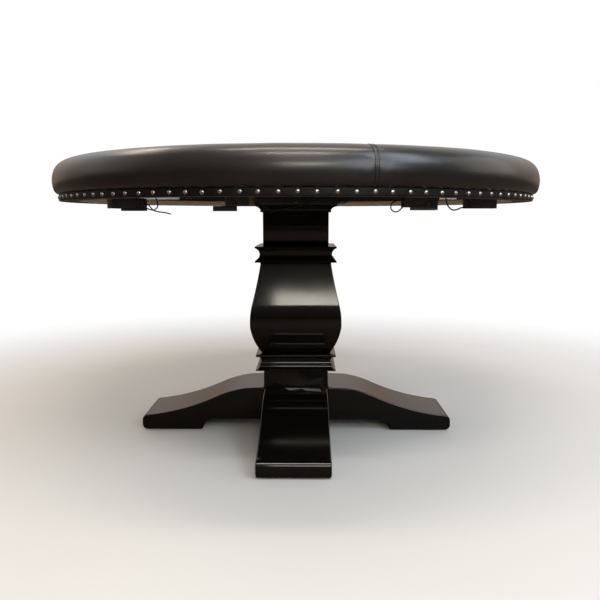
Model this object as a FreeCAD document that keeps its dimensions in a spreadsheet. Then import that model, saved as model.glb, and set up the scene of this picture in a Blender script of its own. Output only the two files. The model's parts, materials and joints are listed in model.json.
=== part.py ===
import FreeCAD, Part
import math
import os
import re

import Sketcher

# Round gaming table: a padded top on a ring apron, carried by a square urn pedestal on four scroll
# feet, with the lighting modules and their leads on the underside of the deck.
# Millimetres, +Z up, origin on the floor under the middle of the table.

DIMENSIONS = {
    # overall
    "table_height": 787.4,
    "table_diameter": 1375,
    # padded rail
    "rail_width": 127,
    "rail_depth": 89,
    "rail_lean": 5.5,
    "rail_shoulder": 28,
    "rail_under_round": 22,
    "rail_crown": 400,
    "rail_core_height": 36,
    "rail_core_inset": 22,
    "cover_thickness": 1.2,
    "cushion_segments": 16,
    "padding_clearance": 0.8,
    # deck and apron ring
    "deck_thickness": 18,
    "deck_inset": 32.5,
    "apron_inset": 16,
    "apron_width": 49.5,
    "apron_thickness": 17.4,
    "band_thickness": 1.5,
    "nail_count": 108,
    "nail_radius": 5.2,
    "nail_dome": 3,
    # playing surface
    "playfield_drop": 27,
    "playfield_inset": 14.5,
    "playfield_board_thickness": 15,
    "playfield_pad_thickness": 8,
    "cloth_thickness": 1,
    "well_ring_width": 76,
    "well_ring_height": 20,
    # light channel between the playing surface and the rail
    "channel_wall": 1.5,
    "channel_gap": 1.6,
    "channel_height": 17,
    "diffuser_thickness": 3,
    "strip_thickness": 1.5,
    # mounting of the top on the pedestal
    "cleat_side": 300,
    "cleat_screw_offset": 132,
    "cleat_screw_radius": 2.5,
    "cleat_screw_head": 5,
    "cleat_screw_head_height": 3,
    "cleat_screw_reach": 12,
    "top_plate_half": 118,
    "top_plate_thickness": 8,
    "mount_bolt_offset": 62,
    "mount_bolt_radius": 4,
    "mount_bolt_head_radius": 7.5,
    "mount_bolt_head_height": 5.5,
    "nut_pocket_radius": 22,
    # pedestal stack
    "moulding_half": 118,
    "capital_height": 20.5,
    "capital_neck_half": 102,
    "capital_bead": 7,
    "capital_lip": 4,
    "capital_cove_share": 1.3,
    "column_half": 95.3,
    "column_height": 98.5,
    "column_wall": 19,
    "neck_height": 46,
    "neck_waist_half": 105,
    "neck_lip": 4.5,
    "urn_height": 269,
    "urn_top_half": 102,
    "urn_top_band": 6,
    "urn_belly_half": 132.8,
    "urn_belly_level": 81,
    "urn_belly_flat": 12,
    "urn_belly_rise": 60,
    "urn_belly_slope": 5.5,
    "urn_belly_round": 180,
    "urn_foot_half": 99.6,
    "urn_foot_round": 225,
    "urn_wall": 22,
    "base_moulding_height": 50.5,
    "base_lip": 3,
    "base_ledge_half": 105,
    "base_ledge_level": 16,
    "base_waist_top": 41.5,
    "base_waist_round": 14.5,
    "base_ledge_step": 2.5,
    "base_cap_half": 117.5,
    "base_cap_lip": 6,
    "base_cap_margin": 1,
    "base_cove_share": 1.02,
    "block_wall": 24,
    "bore_radius": 11,
    "crossing_margin": 20,
    # tie rod through the pedestal
    "rod_radius": 8,
    "nut_radius": 13.8,
    "nut_height": 12,
    "washer_radius": 19,
    "washer_thickness": 3,
    "clamp_plate_half": 84,
    "clamp_plate_thickness": 8,
    "rod_end": 2,
    # feet
    "foot_length": 464.5,
    "foot_width": 187.5,
    "foot_root_height": 132,
    "foot_underside": 33,
    "foot_pad_length": 182,
    "foot_knee_drop": 2.5,
    "foot_knee_reach": 55,
    "foot_hip_reach": 150,
    "foot_hip_height": 101.5,
    "foot_hip_round": 330,
    "foot_sweep_round": 680,
    "foot_tip_height": 47,
    "foot_tip_reach": 18,
    "foot_tip_round": 18,
    "foot_tip_lift": 1,
    "foot_toe_round": 14,
    "foot_bolt_radius": 5,
    "foot_bolt_length": 70,
    "foot_bolt_head_radius": 9,
    "foot_bolt_head_height": 6.5,
    "foot_bolt_spacing": 90,
    "foot_bolt_level": 84,
    "glide_radius": 15,
    "glide_thickness": 2.5,
    "glide_spacing": 130,
    "glide_inset": 60,
    # lighting modules under the deck
    "case_wall": 2,
    "case_round": 1.6,
    "lid_thickness": 2.4,
    "board_thickness": 1.6,
    "board_lift": 6,
    "board_set_back": 4,
    "fit_clearance": 0.3,
    "thread_clearance": 0.15,
    "left_driver_x": -410.2,
    "left_driver_y": -380,
    "left_driver_width": 58.8,
    "driver_depth": 40,
    "left_driver_height": 38.9,
    "left_terminal_width": 18,
    "left_terminal_drop": 5.8,
    "left_lip_length": 38,
    "terminal_depth": 34,
    "terminal_height": 24.5,
    "bracket_thickness": 2,
    "left_bracket_width": 12,
    "bracket_flange": 16,
    "flange_screw_reach": 9.6,
    "left_bracket_set_back": 4,
    "upper_screw_drop": 21.395,
    "lower_screw_drop": 31.12,
    "right_driver_x": 483.7,
    "right_driver_y": -280,
    "right_driver_width": 68.6,
    "right_driver_height": 37.7,
    "right_terminal_width": 10,
    "controller_x": 299.8,
    "controller_y": -405,
    "controller_width": 77.8,
    "controller_depth": 50,
    "controller_height": 36.5,
    "controller_tray": 6.8,
    "controller_tray_length": 56,
    "button_x": 318.6,
    "button_drop": 28.6,
    "button_side": 7.5,
    "button_round": 0.9,
    "button_depth": 6,
    "button_proud": 4,
    "bezel_side": 11,
    "bezel_depth": 2,
    "port_x": -114,
    "port_y": -520,
    "port_width": 64,
    "port_depth": 40,
    "port_height": 35.4,
    "socket_x": -127.8,
    "socket_drop": 29.8,
    "socket_width": 15,
    "socket_height": 9,
    "socket_proud": 3,
    "socket_hole": 1.4,
    "socket_floor": 0.5,
    "port_tab_width": 13,
    "port_screw_drop": 24.78,
    "splice_length": 52,
    "splice_depth": 18,
    "splice_height": 11,
    "splice_overhang": 4.16,
    "splice_round": 2,
    "light_bar_y": -68,
    "light_bar_depth": 10,
    "left_light_bar_x": -407,
    "left_light_bar_length": 132,
    "right_light_bar_x": 443,
    "right_light_bar_length": 48,
    "light_bar_height": 10,
    "light_bar_wall": 1.2,
    "bracket_screw_radius": 3.2,
    "bracket_screw_height": 2,
    # leads
    "lead_diameter": 3,
    "right_lead_diameter": 3.5,
    "centre_lead_diameter": 4,
    "grommet_radius": 6,
    "grommet_height": 2.5,
    "grommet_clearance": 1,
}

# Levels and radii that follow from the dimensions above.
DERIVED = {
    "rail_outer": "table_diameter / 2",
    "rail_inner": "rail_outer - rail_width",
    "deck_radius": "rail_outer - deck_inset",
    "apron_radius": "rail_outer - apron_inset",
    "apron_inner_radius": "apron_radius - apron_width",
    "playfield_radius": "rail_inner - playfield_inset",
    "well_ring_inner_radius": "playfield_radius - well_ring_width",
    "ceiling": "table_height - rail_depth",
    "deck_top": "ceiling + deck_thickness",
    "crown_rise": "rail_crown - sqrt(rail_crown^2 - ((rail_width - 2 * rail_shoulder) / 2)^2)",
    "apron_low": "ceiling - apron_thickness",
    "band_outer": "apron_radius + band_thickness",
    "top_plate_low": "apron_low - top_plate_thickness",
    "capital_low": "top_plate_low - capital_height",
    "column_low": "capital_low - column_height",
    "neck_low": "column_low - neck_height",
    "urn_low": "neck_low - urn_height",
    "base_low": "urn_low - base_moulding_height",
    "block_low": "foot_underside",
    "block_height": "base_low - block_low",
    "playfield_top": "table_height - playfield_drop",
    "playfield_pad_low": "playfield_top - cloth_thickness - playfield_pad_thickness",
    "playfield_low": "playfield_pad_low - playfield_board_thickness",
    "well_ring_low": "playfield_low - well_ring_height",
    "channel_outer": "rail_inner - fit_clearance",
    "channel_inner": "playfield_radius + channel_gap",
    "strip_low": "playfield_low + channel_wall",
    "diffuser_low": "playfield_low + channel_height",
    "left_lip_low": "ceiling - left_driver_height - left_terminal_drop",
    "button_level": "ceiling - button_drop",
    "button_room": "button_side + 2 * fit_clearance",
    "socket_level": "ceiling - socket_drop",
}

WORD = re.compile(r"[a-z][a-z_0-9]*")

doc = FreeCAD.newDocument("GamingTable")
sheet = doc.addObject("Spreadsheet::Sheet", "Sizes")
for row, (alias, size) in enumerate(DIMENSIONS.items(), start=1):
    sheet.set(f"A{row}", alias)
    sheet.set(f"B{row}", str(size))
    sheet.setAlias(f"B{row}", alias)
doc.recompute()

SUBPARTS = []
UP = FreeCAD.Vector(0, 0, 1)


def full(expression):
    """Expression with every name replaced by its cell, or by the derived expression behind it."""

    def cell(match):
        word = match.group(0)
        if word in DIMENSIONS:
            return f"Sizes.{word}"
        if word in DERIVED:
            return f"({full(DERIVED[word])})"
        return word

    return WORD.sub(cell, str(expression))


def number(expression):
    """Value of an expression in millimetres."""
    result = sheet.evalExpression(full(expression))
    return float(getattr(result, "Value", result))


def bind(thing, x=None, y=None, z=None, **properties):
    """Bind an object's properties, and its place, to expressions."""
    for name, expression in properties.items():
        thing.setExpression(name, full(expression))
    for axis, expression in (("x", x), ("y", y), ("z", z)):
        if expression is not None:
            thing.setExpression(f"Placement.Base.{axis}", full(expression))
    return thing


def subpart(thing, label):
    """Name an object as one of the table's own pieces."""
    thing.Label = label
    SUBPARTS.append(thing)
    return thing


# ---------------------------------------------------------------- primitives and booleans


def make_box(name, length, width, height, x, y, z):
    """Box centred on x and y, standing on z."""
    box = doc.addObject("Part::Box", name)
    left = f"({x}) - ({length}) / 2"
    front = f"({y}) - ({width}) / 2"
    return bind(box, x=left, y=front, z=z, Length=length, Width=width, Height=height)


def make_cylinder(name, radius, height, x, y, z, direction=None):
    """Cylinder from (x, y, z) along a direction, upwards when none is given."""
    cylinder = doc.addObject("Part::Cylinder", name)
    if direction is not None:
        cylinder.Placement.Rotation = FreeCAD.Rotation(FreeCAD.Vector(0, 0, 1), FreeCAD.Vector(*direction))
    return bind(cylinder, x=x, y=y, z=z, Radius=radius, Height=height)


def make_hexagon(name, radius, height, x, y, z, direction=None):
    """Hexagonal prism from (x, y, z) along a direction, upwards when none is given."""
    prism = doc.addObject("Part::Prism", name)
    prism.Polygon = 6
    if direction is not None:
        prism.Placement.Rotation = FreeCAD.Rotation(FreeCAD.Vector(0, 0, 1), FreeCAD.Vector(*direction))
    return bind(prism, x=x, y=y, z=z, Circumradius=radius, Height=height)


def cut(name, base, tool):
    result = doc.addObject("Part::Cut", name)
    result.Base = base
    result.Tool = tool
    return result


def fuse(name, shapes):
    result = doc.addObject("Part::MultiFuse", name)
    result.Shapes = shapes
    return result


def group(name, shapes):
    """Separate solids kept together as one sub-part."""
    result = doc.addObject("Part::Compound", name)
    result.Links = shapes
    return result


def make_ring(name, outer, inner, height, z):
    """Flat ring about the table's axis."""
    disc = make_cylinder(f"{name}_disc", outer, height, "0", "0", z)
    hole = make_cylinder(f"{name}_hole", inner, height, "0", "0", z)
    return cut(name, disc, hole)


# ---------------------------------------------------------------- sketches


def pin_point(sketch, geometry, end, x, y):
    """Fix one end of an edge, or a circle's centre, at (x, y)."""
    for kind, expression in (("DistanceX", x), ("DistanceY", y)):
        constraint = Sketcher.Constraint(kind, -1, 1, geometry, end, number(expression))
        index = sketch.addConstraint(constraint)
        sketch.setExpression(f"Constraints[{index}]", full(expression))


def pin_radius(sketch, geometry, radius):
    index = sketch.addConstraint(Sketcher.Constraint("Radius", geometry, number(radius)))
    sketch.setExpression(f"Constraints[{index}]", full(radius))


def arc_through(start, end, radius):
    """Arc between two points: a positive radius bulges to the right of the way, out of the solid."""
    chord = end - start
    half = chord.Length / 2
    rise = abs(radius) - math.sqrt(max(radius * radius - half * half, 0))
    side = FreeCAD.Vector(chord.y, -chord.x, 0).normalize()
    middle = (start + end) / 2 + side * math.copysign(rise, radius)
    return Part.Arc(start, middle, end)


def add_outline(sketch, outline):
    """Closed outline, anticlockwise: (x, y) starts a straight edge, (x, y, radius) starts an arc."""
    corners = [FreeCAD.Vector(number(corner[0]), number(corner[1]), 0) for corner in outline]
    edges = []
    for index, corner in enumerate(outline):
        start = corners[index]
        end = corners[(index + 1) % len(corners)]
        if len(corner) == 3:
            edge = sketch.addGeometry(arc_through(start, end, number(corner[2])))
            first = 1 if (sketch.getPoint(edge, 1) - start).Length < 1e-6 else 2
        else:
            edge = sketch.addGeometry(Part.LineSegment(start, end))
            first = 1
        edges.append((edge, first, 3 - first))
    for index, (edge, first, last) in enumerate(edges):
        following, following_first, _ = edges[(index + 1) % len(edges)]
        sketch.addConstraint(Sketcher.Constraint("Coincident", edge, last, following, following_first))
    for corner, (edge, first, last) in zip(outline, edges):
        pin_point(sketch, edge, first, corner[0], corner[1])
        if len(corner) == 3:
            pin_radius(sketch, edge, f"abs({corner[2]})")


def add_circle(sketch, x, y, radius):
    centre = FreeCAD.Vector(number(x), number(y), 0)
    circle = sketch.addGeometry(Part.Circle(centre, FreeCAD.Vector(0, 0, 1), number(radius)))
    pin_point(sketch, circle, 3, x, y)
    pin_radius(sketch, circle, radius)


def rectangle(x, y, width, depth):
    """Outline of a rectangle centred on (x, y)."""
    left = f"({x}) - ({width}) / 2"
    right = f"({x}) + ({width}) / 2"
    front = f"({y}) - ({depth}) / 2"
    back = f"({y}) + ({depth}) / 2"
    return [(left, front), (right, front), (right, back), (left, back)]


def free_sketch(name, outline, turn):
    """Sketch outside any body: its own X and Y lie as the rotation says."""
    sketch = doc.addObject("Sketcher::SketchObject", name)
    add_outline(sketch, outline)
    sketch.Placement.Rotation = turn
    return sketch


# ---------------------------------------------------------------- bodies


def new_body(label):
    body = doc.addObject("PartDesign::Body", label)
    return subpart(body, label)


def origin_feature(body, role):
    return next(feature for feature in body.Origin.OriginFeatures if feature.Role == role)


def body_sketch(body, name, role, offset="0", rise="0"):
    """Sketch on one of the body's origin planes, moved along the plane's normal and upwards in it."""
    sketch = body.newObject("Sketcher::SketchObject", name)
    sketch.AttachmentSupport = (origin_feature(body, role), [""])
    sketch.MapMode = "FlatFace"
    sketch.setExpression("AttachmentOffset.Base.z", full(offset))
    sketch.setExpression("AttachmentOffset.Base.y", full(rise))
    return sketch


def pad(body, sketch, length, midplane=False):
    feature = body.newObject("PartDesign::Pad", f"{sketch.Name}_pad")
    feature.Profile = sketch
    feature.Midplane = midplane
    feature.setExpression("Length", full(length))
    return feature


def pocket(body, sketch, length, reverse=False):
    """Pocket that must take material away."""
    doc.recompute()
    before = body.Shape.Volume
    feature = body.newObject("PartDesign::Pocket", f"{sketch.Name}_pocket")
    feature.Profile = sketch
    feature.Reversed = reverse
    feature.setExpression("Length", full(length))
    doc.recompute()
    if body.Shape.Volume > before - 1:
        raise RuntimeError(f"{feature.Name} cuts nothing")
    return feature


def revolve(body, sketch, axis):
    feature = body.newObject("PartDesign::Revolution", f"{sketch.Name}_turned")
    feature.Profile = sketch
    feature.ReferenceAxis = (sketch, [axis])
    feature.Angle = 360
    return feature


def ease(body, feature, radius, chosen):
    """Round the edges of a feature that the test picks."""
    doc.recompute()
    edges = feature.Shape.Edges
    names = [f"Edge{index}" for index, edge in enumerate(edges, start=1) if chosen(edge)]
    fillet = body.newObject("PartDesign::Fillet", f"{feature.Name}_eased")
    fillet.Base = (feature, names)
    fillet.setExpression("Radius", full(radius))
    return fillet


def is_upright(edge):
    """Whether an edge is a straight vertical one."""
    direction = edge.Vertexes[-1].Point - edge.Vertexes[0].Point
    return math.hypot(direction.x, direction.y) < 1e-6 < abs(direction.z)


def turned_body(label, outline):
    """Body turned about the table's axis from an outline of (radius, height)."""
    body = new_body(label)
    sketch = body_sketch(body, f"{label}_profile", "XZ_Plane")
    add_outline(sketch, outline)
    revolve(body, sketch, "V_Axis")
    return body


def round_plate(label, radius, thickness, low, holes):
    """Round board about the table's axis, with holes of (x, y, radius) through it."""
    body = new_body(label)
    sketch = body_sketch(body, f"{label}_plan", "XY_Plane", offset=low)
    add_circle(sketch, "0", "0", radius)
    for hole in holes:
        add_circle(sketch, *hole)
    pad(body, sketch, thickness)
    return body


def square_plate(label, side, thickness, low, holes):
    """Square board about the table's axis, with holes of (x, y, radius) through it."""
    body = new_body(label)
    sketch = body_sketch(body, f"{label}_plan", "XY_Plane", offset=low)
    add_outline(sketch, rectangle("0", "0", side, side))
    for hole in holes:
        add_circle(sketch, *hole)
    pad(body, sketch, thickness)
    return body


def corner_places(offset):
    """The four places at plus and minus an offset in X and Y."""
    return [(f"{x} * ({offset})", f"{y} * ({offset})") for x in (-1, 1) for y in (-1, 1)]


def side_places(offset):
    """The four places at an offset along plus and minus X and Y."""
    return [(f"({offset})", "0"), (f"-({offset})", "0"), ("0", f"({offset})"), ("0", f"-({offset})")]


# ---------------------------------------------------------------- padded rail


def rail_outline(inset):
    """Section of the rail, with its upholstered faces moved in by an inset."""
    shoulder_top = f"table_height - crown_rise - ({inset})"
    return [
        ("deck_radius + fit_clearance", f"ceiling + ({inset})"),
        ("rail_outer - rail_lean - rail_under_round", f"ceiling + ({inset})", f"rail_under_round - ({inset})"),
        (f"rail_outer - rail_lean - ({inset})", "ceiling + rail_under_round"),
        (
            f"rail_outer - ({inset})",
            "table_height - crown_rise - rail_shoulder",
            f"rail_shoulder - ({inset})",
        ),
        ("rail_outer - rail_shoulder", shoulder_top, f"rail_crown - ({inset})"),
        ("rail_inner + rail_shoulder", shoulder_top, f"rail_shoulder - ({inset})"),
        (f"rail_inner + ({inset})", "table_height - crown_rise - rail_shoulder"),
        (f"rail_inner + ({inset})", "deck_top"),
        ("deck_radius + fit_clearance", "deck_top"),
    ]


def turned_outline(name, outline, angle="360"):
    """Outline of (radius, height) turned about the table's axis, outside any body."""
    upright = FreeCAD.Rotation(FreeCAD.Vector(1, 0, 0), 90)
    turned = doc.addObject("Part::Revolution", name)
    turned.Source = free_sketch(f"{name}_section", outline, upright)
    turned.Axis = UP
    turned.setExpression("Angle", full(angle))
    turned.Solid = True
    return turned


def build_rail():
    core_inner = "rail_inner + rail_core_inset"
    subpart(make_ring("core_ring", "deck_radius", core_inner, "rail_core_height", "deck_top"), "rail_core")
    whole = turned_outline("rail_whole", rail_outline("0"))
    filling = turned_outline("rail_filling", rail_outline("cover_thickness"))
    room_outer = "deck_radius + fit_clearance"
    room_inner = f"{core_inner} - padding_clearance"
    core_room = make_ring("core_room", room_outer, room_inner, "rail_core_height", "deck_top")
    padding_inset = "cover_thickness + padding_clearance"
    segment = turned_outline("cushion_segment", rail_outline(padding_inset), "360 / cushion_segments")
    padding = cut("cushion_cut", segment, core_room)
    segments = []
    for index in range(round(number("cushion_segments"))):
        copy = doc.addObject("App::Link", f"cushion_segment_{index}")
        copy.LinkedObject = padding
        copy.Placement.Rotation = FreeCAD.Rotation(UP, index * number("360 / cushion_segments"))
        segments.append(copy)
    subpart(group("cushion_set", segments), "rail_cushion")
    subpart(cut("cover_cut", whole, filling), "rail_cover")


# ---------------------------------------------------------------- deck, apron and playing surface


def mount_bolt_holes(radius):
    return [(x, y, radius) for x, y in corner_places("mount_bolt_offset")]


def cleat_screw_places():
    return corner_places("cleat_screw_offset") + side_places("cleat_screw_offset")


def build_deck():
    screw_holes = [(x, y, "cleat_screw_radius + thread_clearance") for x, y in cleat_screw_places()]
    bolt_holes = mount_bolt_holes("mount_bolt_radius + fit_clearance")
    round_plate("table_deck", "deck_radius", "deck_thickness", "ceiling", screw_holes + bolt_holes)
    round_plate("base_ring", "apron_radius", "apron_thickness", "apron_low", [("0", "0", "apron_inner_radius")])
    wrap = make_ring("wrap_ring", "band_outer", "apron_radius", "apron_thickness", "apron_low")
    subpart(wrap, "band_wrap")


def build_nails():
    """Domed nails round the apron band."""
    body = new_body("band_nails")
    sketch = body_sketch(body, "nail_section", "XZ_Plane", rise="apron_low + apron_thickness / 2")
    dome_round = "(nail_radius^2 + nail_dome^2) / (2 * nail_dome)"
    add_outline(
        sketch,
        [
            ("band_outer", "0"),
            ("band_outer + nail_dome", "0", dome_round),
            ("band_outer", "nail_radius"),
        ],
    )
    nail = revolve(body, sketch, "H_Axis")
    doc.recompute()
    pattern = body.newObject("PartDesign::PolarPattern", "nail_circle")
    pattern.Originals = [nail]
    pattern.Axis = (origin_feature(body, "Z_Axis"), [""])
    pattern.Angle = 360
    pattern.setExpression("Occurrences", full("nail_count"))
    body.Tip = pattern


def build_playfield():
    well_ring = make_ring(
        "well_ring_cut", "channel_outer", "well_ring_inner_radius", "well_ring_height", "well_ring_low"
    )
    subpart(well_ring, "well_ring")
    board_radius = "playfield_radius - cloth_thickness"
    round_plate("playfield_board", board_radius, "playfield_board_thickness", "playfield_low", [])
    round_plate("playfield_pad", board_radius, "playfield_pad_thickness", "playfield_pad_low", [])
    turned_body(
        "playfield_cloth",
        [
            (board_radius, "playfield_low"),
            ("playfield_radius", "playfield_low"),
            ("playfield_radius", "playfield_top"),
            ("0", "playfield_top"),
            ("0", "playfield_top - cloth_thickness"),
            (board_radius, "playfield_top - cloth_thickness"),
        ],
    )


def build_light_channel():
    turned_body(
        "light_channel",
        [
            ("channel_inner", "playfield_low"),
            ("channel_outer", "playfield_low"),
            ("channel_outer", "diffuser_low"),
            ("channel_outer - channel_wall", "diffuser_low"),
            ("channel_outer - channel_wall", "strip_low"),
            ("channel_inner + channel_wall", "strip_low"),
            ("channel_inner + channel_wall", "diffuser_low"),
            ("channel_inner", "diffuser_low"),
        ],
    )
    strip_outer = "channel_outer - channel_wall - fit_clearance"
    strip_inner = "channel_inner + channel_wall + fit_clearance"
    subpart(make_ring("strip_ring", strip_outer, strip_inner, "strip_thickness", "strip_low"), "light_strip")
    diffuser = make_ring("diffuser_ring", "channel_outer", "channel_inner", "diffuser_thickness", "diffuser_low")
    subpart(diffuser, "light_diffuser")


# ---------------------------------------------------------------- mounting of the top


def build_mounting():
    screw_holes = [(x, y, "cleat_screw_radius + thread_clearance") for x, y in cleat_screw_places()]
    bolt_holes = mount_bolt_holes("mount_bolt_radius + fit_clearance")
    rod_hole = [("0", "0", "nut_pocket_radius")]
    square_plate("mounting_cleat", "cleat_side", "apron_thickness", "apron_low", screw_holes + bolt_holes + rod_hole)
    plate_holes = mount_bolt_holes("mount_bolt_radius + thread_clearance") + [("0", "0", "bore_radius")]
    plate_side = "2 * top_plate_half"
    square_plate("pedestal_top_plate", plate_side, "top_plate_thickness", "top_plate_low", plate_holes)
    screws = []
    for index, (x, y) in enumerate(cleat_screw_places()):
        head_low = "apron_low - cleat_screw_head_height"
        head = make_cylinder(
            f"cleat_screw_head_{index}", "cleat_screw_head", "cleat_screw_head_height", x, y, head_low
        )
        length = "apron_thickness + cleat_screw_reach"
        shank = make_cylinder(f"cleat_screw_shank_{index}", "cleat_screw_radius", length, x, y, "apron_low")
        screws.append(fuse(f"cleat_screw_{index}", [head, shank]))
    subpart(group("cleat_screw_set", screws), "cleat_screws")
    bolts = []
    bolt_length = "deck_top - top_plate_low"
    for index, (x, y) in enumerate(corner_places("mount_bolt_offset")):
        shank = make_cylinder(f"mount_bolt_shank_{index}", "mount_bolt_radius", bolt_length, x, y, "top_plate_low")
        head = make_hexagon(
            f"mount_bolt_head_{index}", "mount_bolt_head_radius", "mount_bolt_head_height", x, y, "deck_top"
        )
        bolts.append(fuse(f"mount_bolt_{index}", [shank, head]))
    subpart(group("mount_bolt_set", bolts), "top_mount_bolts")


# ---------------------------------------------------------------- pedestal


def mirrored(right_side):
    """Whole outline from its right side, which runs upwards."""
    outline = list(right_side)
    for index in range(len(right_side) - 1, -1, -1):
        corner = right_side[index]
        entry = (f"-({corner[0]})", corner[1])
        if index > 0 and len(right_side[index - 1]) == 3:
            entry += (right_side[index - 1][2],)
        outline.append(entry)
    return outline


def square_turning(name, right_side, half):
    """Square moulding: the same outline run through along X and along Y, where both are solid."""
    outline = mirrored(right_side)
    runs = []
    for axis, turn in (
        ("y", FreeCAD.Rotation(FreeCAD.Vector(1, 0, 0), 90)),
        ("x", FreeCAD.Rotation(FreeCAD.Vector(1, 1, 1), 120)),
    ):
        run = doc.addObject("Part::Extrusion", f"{name}_along_{axis}")
        run.Base = free_sketch(f"{name}_outline_{axis}", outline, turn)
        run.DirMode = "Normal"
        run.Symmetric = True
        run.Solid = True
        run.setExpression("LengthFwd", full(f"2 * ({half}) + crossing_margin"))
        runs.append(run)
    moulding = doc.addObject("Part::MultiCommon", name)
    moulding.Shapes = runs
    return moulding


def square_ring(name, half, wall, low, height):
    """Box built square about the axis, open above and below."""
    outside = make_box(f"{name}_outside", f"2 * ({half})", f"2 * ({half})", height, "0", "0", low)
    inner = f"2 * ({half}) - 2 * ({wall})"
    inside = make_box(f"{name}_inside", inner, inner, height, "0", "0", low)
    return cut(name, outside, inside)


def cove(half, waist):
    """Radius of a hollow of a given opening, half of it, and depth."""
    return f"-((({half})^2 + ({waist})^2) / (2 * ({waist})))"


def bored(name, moulding, low, height):
    """Moulding with the tie rod's bore through it."""
    return cut(name, moulding, make_cylinder(f"{name}_bore", "bore_radius", height, "0", "0", low))


def build_capital():
    cove_low = "capital_low + capital_bead"
    cove_top = "top_plate_low - capital_lip"
    right_side = [
        ("capital_neck_half", "capital_low"),
        ("capital_neck_half", cove_low, "-capital_cove_share * (moulding_half - capital_neck_half)"),
        ("moulding_half", cove_top),
        ("moulding_half", "top_plate_low"),
    ]
    moulding = square_turning("capital_square", right_side, "moulding_half")
    subpart(bored("capital_bored", moulding, "capital_low", "capital_height"), "capital_moulding")


def build_column():
    column = square_ring("column_box", "column_half", "column_wall", "column_low", "column_height")
    subpart(column, "pedestal_column")


def build_neck():
    depth = "moulding_half - neck_waist_half"
    right_side = [
        ("moulding_half", "neck_low"),
        ("moulding_half", "neck_low + neck_lip", cove("neck_height / 2 - neck_lip", depth)),
        ("moulding_half", "column_low - neck_lip"),
        ("moulding_half", "column_low"),
    ]
    moulding = square_turning("neck_square", right_side, "moulding_half")
    subpart(bored("neck_bored", moulding, "neck_low", "neck_height"), "neck_moulding")


def build_urn():
    belly = "urn_low + urn_belly_level"
    right_side = [
        ("urn_foot_half", "urn_low", "urn_foot_round"),
        ("urn_belly_half", belly),
        ("urn_belly_half", f"{belly} + urn_belly_flat", "urn_belly_round"),
        ("urn_belly_half - urn_belly_slope", f"{belly} + urn_belly_flat + urn_belly_rise"),
        ("urn_top_half", "neck_low - urn_top_band"),
        ("urn_top_half", "neck_low"),
    ]
    urn = square_turning("urn_square", right_side, "urn_belly_half")
    room = "2 * urn_foot_half - 2 * urn_wall"
    hollow = make_box("urn_hollow", room, room, "urn_height", "0", "0", "urn_low")
    subpart(cut("urn_hollowed", urn, hollow), "urn_body")


def build_base():
    waist_low = "base_low + base_ledge_level"
    waist_top = "base_low + base_waist_top"
    right_side = [
        ("moulding_half", "base_low"),
        ("moulding_half", "base_low + base_lip", "-base_cove_share * (base_ledge_level - base_lip)"),
        ("base_ledge_half", waist_low),
        ("base_ledge_half + base_ledge_step", waist_low),
        ("base_ledge_half + base_ledge_step", f"{waist_low} + base_ledge_step"),
        ("base_ledge_half", f"{waist_low} + base_ledge_step", "-base_waist_round"),
        ("base_cap_half", waist_top),
        ("base_cap_half", f"{waist_top} + base_cap_lip"),
        ("urn_foot_half + base_cap_margin", "urn_low"),
    ]
    moulding = square_turning("base_square", right_side, "moulding_half")
    subpart(bored("base_bored", moulding, "base_low", "base_moulding_height"), "base_moulding")


def foot_bolt_places():
    """(across, level) of the two bolts of a foot."""
    return [("-foot_bolt_spacing / 2", "foot_bolt_level"), ("foot_bolt_spacing / 2", "foot_bolt_level")]


def build_block():
    """Block that the feet bolt to: a box with a bored top and bolt holes in its walls."""
    block = make_box("block_box", "2 * column_half", "2 * column_half", "block_height", "0", "0", "block_low")
    room = "2 * column_half - 2 * block_wall"
    hollow = make_box("block_hollow", room, room, "block_height - block_wall", "0", "0", "block_low")
    tools = [hollow, make_cylinder("block_bore", "bore_radius", "block_height", "0", "0", "block_low")]
    for index, (across, level) in enumerate(foot_bolt_places()):
        for axis, direction in (("x", (1, 0, 0)), ("y", (0, 1, 0))):
            start = {"x": "-column_half", "y": across} if axis == "x" else {"x": across, "y": "-column_half"}
            tools.append(
                make_cylinder(
                    f"block_bolt_hole_{axis}_{index}",
                    "foot_bolt_radius + fit_clearance",
                    "2 * column_half",
                    start["x"],
                    start["y"],
                    level,
                    direction,
                )
            )
    subpart(cut("block_cut", block, fuse("block_tools", tools)), "base_block")


def build_tie_rod():
    nut_low = "apron_low"
    low_washer = "block_low - clamp_plate_thickness - washer_thickness"
    low_nut = f"{low_washer} - nut_height"
    rod_low = f"{low_nut} - rod_end"
    top_nut = "apron_low + washer_thickness"
    rod_length = f"({top_nut} + nut_height) - ({rod_low})"
    subpart(make_cylinder("rod_bar", "rod_radius", rod_length, "0", "0", rod_low), "tie_rod")
    hole = "rod_radius + thread_clearance"
    fasteners = []
    for name, nut_level, washer_level in (("upper", top_nut, nut_low), ("lower", low_nut, low_washer)):
        blank = make_hexagon(f"{name}_nut_blank", "nut_radius", "nut_height", "0", "0", nut_level)
        bore = make_cylinder(f"{name}_nut_bore", hole, "nut_height", "0", "0", nut_level)
        fasteners.append(cut(f"{name}_nut", blank, bore))
        fasteners.append(make_ring(f"{name}_washer", "washer_radius", hole, "washer_thickness", washer_level))
    subpart(group("rod_fasteners", fasteners), "tie_rod_nuts")
    plate_side = "2 * clamp_plate_half"
    plate_low = "block_low - clamp_plate_thickness"
    square_plate("clamp_plate", plate_side, "clamp_plate_thickness", plate_low, [("0", "0", hole)])


# ---------------------------------------------------------------- feet


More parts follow.
